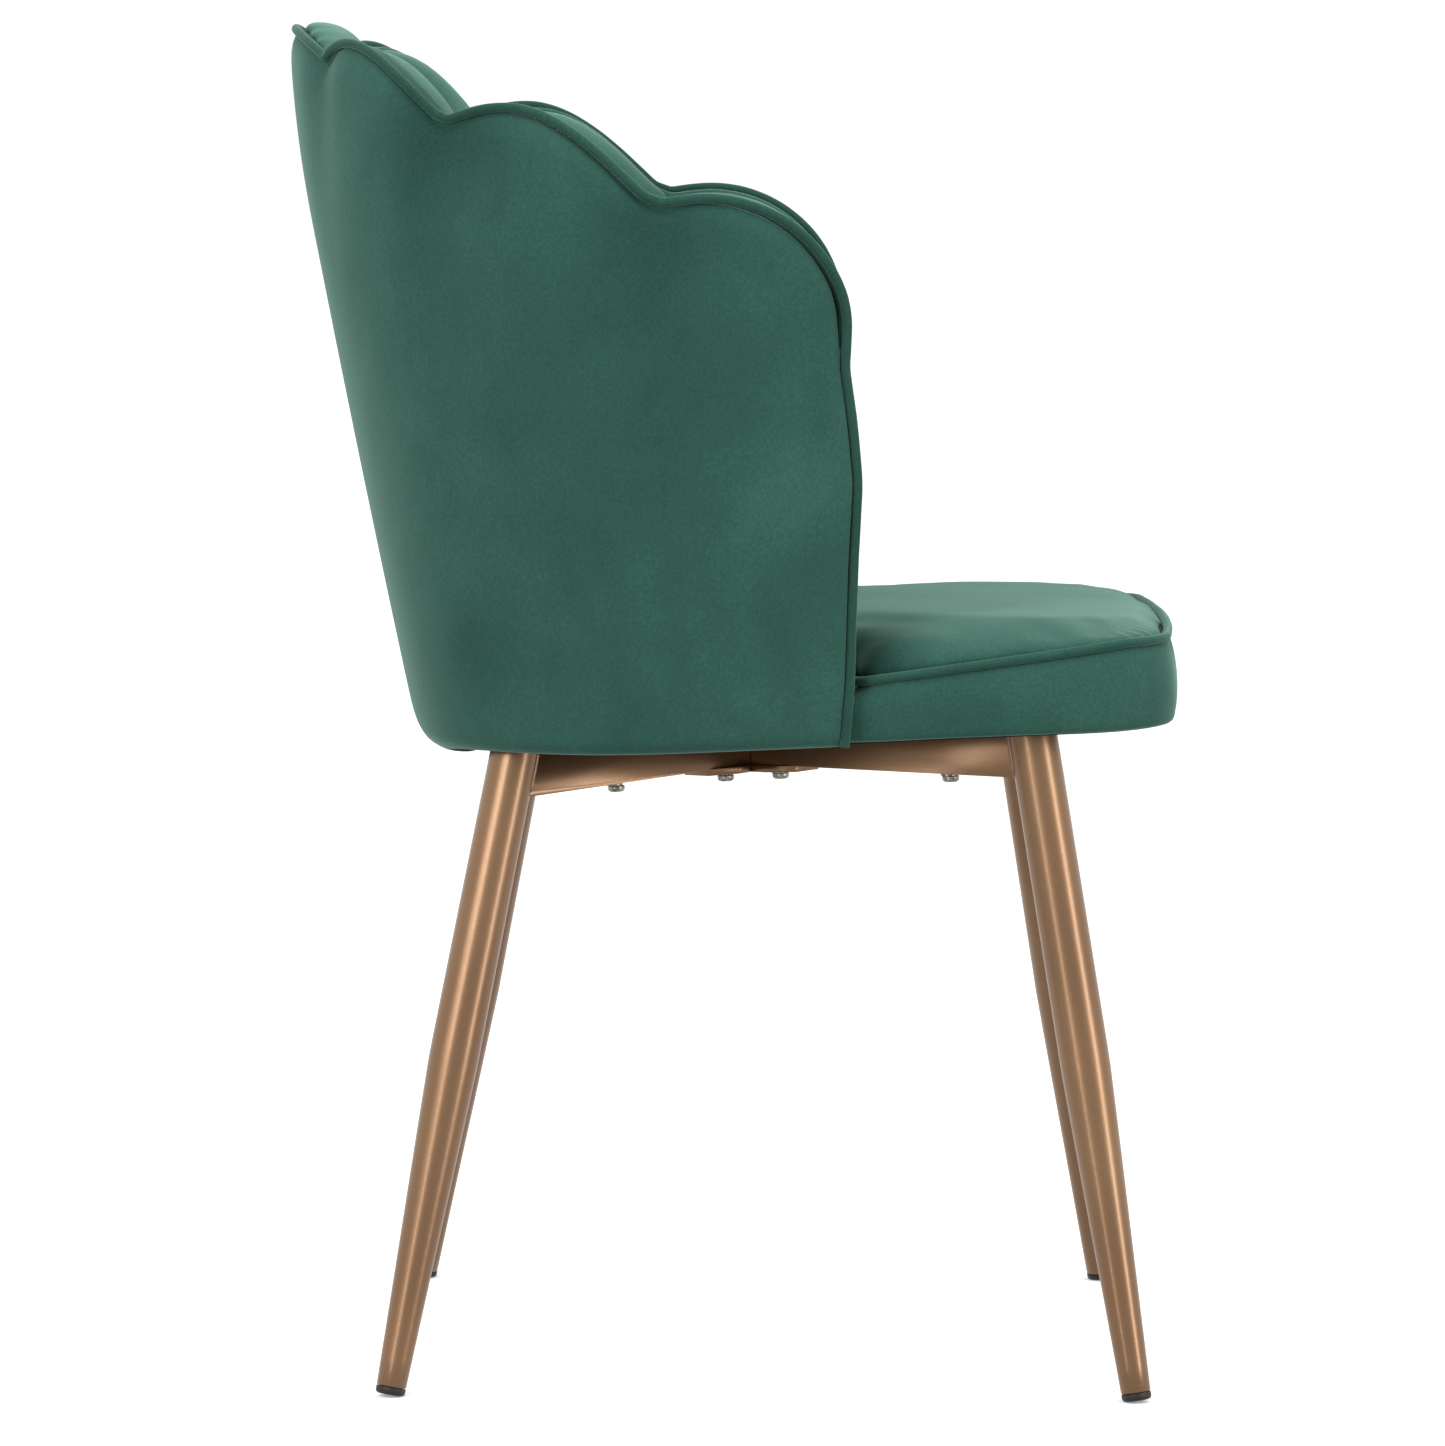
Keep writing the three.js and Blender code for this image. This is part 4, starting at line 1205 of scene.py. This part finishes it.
def rounded_copy(node, name, width, material):
    source = bpy.data.objects[node]
    mesh = source.data.copy()
    mesh.name = name
    work = bmesh.new()
    work.from_mesh(mesh)
    work.transform(source.matrix_world)
    bmesh.ops.remove_doubles(work, verts=work.verts, dist=1e-5)
    bmesh.ops.dissolve_limit(work, angle_limit=math.radians(2), verts=work.verts,
                             edges=work.edges)
    for vert in work.verts:      # two arms touch where the solids keep a hair's gap
        x, y, z = vert.co
        off_middle = y * math.cos(TILT) - (z - DECK_Z) * math.sin(TILT) - FRAME_MIDDLE_Y
        if abs(x) < ARM_GAP:
            vert.co.x *= 0.1
        if abs(off_middle) < ARM_GAP:
            vert.co.y -= 0.9 * off_middle
    work.to_mesh(mesh)
    work.free()
    mesh.materials.clear()
    mesh.materials.append(material)
    piece = bpy.data.objects.new(name, mesh)
    bpy.context.collection.objects.link(piece)
    bevel = piece.modifiers.new("painted_edge", "BEVEL")
    bevel.width = width
    bevel.segments = 2
    bevel.limit_method = "ANGLE"
    bevel.angle_limit = math.radians(35)
    bevel.harden_normals = True
    return apply_modifiers(piece)


for kind, side, hand in CORNERS:
    node = f"frame_arm_{kind}_{hand}"
    arm = rounded_copy(node, f"arm_{kind}_{hand}", EDGE_ROUND, gold_paint)
    arm.data.polygons.foreach_set("use_smooth", [True] * len(arm.data.polygons))
    mark_hard_edges(arm, 30)
    keep(arm, "gold_paint", node)

# %% [markdown]
# ### Weld beads
# Each arm is welded to its leg all round its end. A bead of small overlapping ripples
# stays under the paint. It follows the arm's outline just off the leg, so the piping tree
# sweeps it too, with the same waver as a cord.

# %% Beads
WELD_R, ARM_WIDTH, ARM_DEPTH = 0.0016, 0.020, 0.0265


def leg_centre_on(kind, side, z):
    foot, head = leg_line(kind, side)
    return foot + (head - foot) * (z / head.z)


for kind, side, hand in CORNERS:
    path = []
    across = ARM_WIDTH / 2 + 0.0004
    outline = [(-across, 0.0016), (-across, 0.5 * ARM_DEPTH), (-across, ARM_DEPTH),
               (-across * 0.5, ARM_DEPTH + 0.0004), (across * 0.5, ARM_DEPTH + 0.0004),
               (across, ARM_DEPTH), (across, 0.5 * ARM_DEPTH), (across, 0.0016)]
    middle = Vector((0, FRAME_MIDDLE_Y, 0))
    for sideways, below in outline:
        centre = leg_centre_on(kind, side, deck_height(LEGS[kind][1][1]) - below)
        inwards = (middle - centre).to_2d().normalized()
        square = Vector((-inwards.y, inwards.x))
        reach = math.sqrt(max(LEG_R ** 2 - sideways ** 2, 0)) + 0.0007
        at = centre.to_2d() + square * sideways + inwards * reach
        path.append((at.x, at.y, deck_height(at.y) - below))
    bead = sew_piping(f"weld_{kind}_{hand}", path, WELD_R)
    bead.data.materials.clear()
    bead.data.materials.append(gold_paint)
    keep(bead, "gold_paint")

# %% [markdown]
# ## Bolts and spring washers
# Eight pan-head machine screws with a hexagon socket hold the frame to the deck, each
# over a split spring washer. They are all alike, so one of each is modelled, and a small
# tree sets it at every place.

# %% One bolt and one washer
def ring_of(radius, z, sides=24, flats=0):
    """A circle, or a polygon with that many flats drawn on the same number of points."""
    points = []
    for k in range(sides):
        a = 2 * math.pi * k / sides
        r = radius
        if flats:
            part = math.pi / flats
            r = radius * math.cos(part) / math.cos((a % (2 * part)) - part)
        points.append((r * math.cos(a), r * math.sin(a), z))
    return points


HEAD_R, HEAD_H, SHANK_R, SOCKET_R = 0.0052, 0.0038, 0.003, 0.0023
bolt_rings = [ring_of(SOCKET_R, -HEAD_H + 0.0022, flats=6), ring_of(SOCKET_R, -HEAD_H, flats=6),
              ring_of(SOCKET_R + 0.0004, -HEAD_H)]
for k in range(7):
    a = math.pi / 2 * k / 6
    bolt_rings.append(ring_of(0.0030 + (HEAD_R - 0.0030) * math.sin(a),
                              -HEAD_H + 0.0020 * (1 - math.cos(a))))
bolt_rings += [ring_of(HEAD_R, -0.0003), ring_of(HEAD_R - 0.0003, 0.0), ring_of(SHANK_R, 0.0),
               ring_of(SHANK_R, 0.030)]
one_bolt = capped_stack("one_bolt", bolt_rings, zinc, 38)


def split_washer():
    """A spring washer: a square wire of one turn whose ends stand a little apart."""
    steps, inner, outer, thick, rise = 30, 0.0033, 0.0050, 0.0014, 0.0005
    gap = 0.12
    rings = []
    for k in range(steps + 1):
        a = gap + (2 * math.pi - 2 * gap) * k / steps
        z = rise * (k / steps - 0.5)
        c, s = math.cos(a), math.sin(a)
        rings.append([(inner * c, inner * s, z), (outer * c, outer * s, z),
                      (outer * c, outer * s, z + thick), (inner * c, inner * s, z + thick)])
    return capped_stack("one_washer", rings, zinc, 38)


one_washer = split_washer()


# %% Setting them in place
def placing_tree():
    tree = bpy.data.node_groups.new("fasteners_on_points", "GeometryNodeTree")
    new_socket(tree, "Geometry", "NodeSocketGeometry")
    new_socket(tree, "Fastener", "NodeSocketObject")
    new_socket(tree, "Tilt", "NodeSocketFloat")
    new_socket(tree, "Material", "NodeSocketMaterial")
    new_socket(tree, "Geometry", "NodeSocketGeometry", "OUTPUT")
    given = tree.nodes.new("NodeGroupInput").outputs
    shape = add_node(tree, "GeometryNodeObjectInfo", links={"Object": given["Fastener"]})
    number = add_node(tree, "GeometryNodeInputIndex")
    spin = add_node(tree, "ShaderNodeMath", {"operation": "MULTIPLY", 1: 1.9},
                    {0: number.outputs[0]})
    lean = add_node(tree, "ShaderNodeCombineXYZ", links={"X": given["Tilt"]})
    twist = add_node(tree, "ShaderNodeCombineXYZ", links={"Z": spin.outputs[0]})
    placed = add_node(tree, "GeometryNodeInstanceOnPoints", links={
        "Points": given["Geometry"], "Instance": shape.outputs["Geometry"],
        "Rotation": lean.outputs[0]})
    turned_in = add_node(tree, "GeometryNodeRotateInstances", links={
        "Instances": placed.outputs[0], "Rotation": twist.outputs[0]})
    real = add_node(tree, "GeometryNodeRealizeInstances",
                    links={"Geometry": turned_in.outputs[0]})
    painted = add_node(tree, "GeometryNodeSetMaterial", links={
        "Geometry": real.outputs[0], "Material": given["Material"]})
    leaving = tree.nodes.new("NodeGroupOutput")
    tree.links.new(painted.outputs[0], leaving.inputs[0])
    return tree


PLACING = placing_tree()
SPOTS = [f"{kind}_{hand}_{reach}" for kind, side, hand in CORNERS for reach in ("inner", "outer")]


def set_fasteners(name, template, nodes, lift):
    """Sets the template at the lowest point of each node's axis, lifted by lift."""
    spots = []
    down = Vector((0, -math.sin(TILT), -math.cos(TILT)))
    for node in nodes:
        low, high = (Vector(c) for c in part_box(node))
        length = (high.z - low.z) / math.cos(TILT)
        middle = (low + high) / 2
        spots.append(tuple(middle + down * (length / 2 - lift)))
    points = make_piece(name, spots, [], zinc)
    made = run_tree(points, PLACING, Fastener=template, Tilt=-TILT, Material=zinc)
    mark_hard_edges(made, 38)
    keep(made, "zinc_steel", *nodes)


set_fasteners("frame_bolts", one_bolt, [f"bolt_{spot}" for spot in SPOTS], HEAD_H + 0.0003)
set_fasteners("spring_washers", one_washer, [f"spring_washer_{spot}" for spot in SPOTS], 0.0002)
for template in (one_bolt, one_washer):
    bpy.data.objects.remove(template)
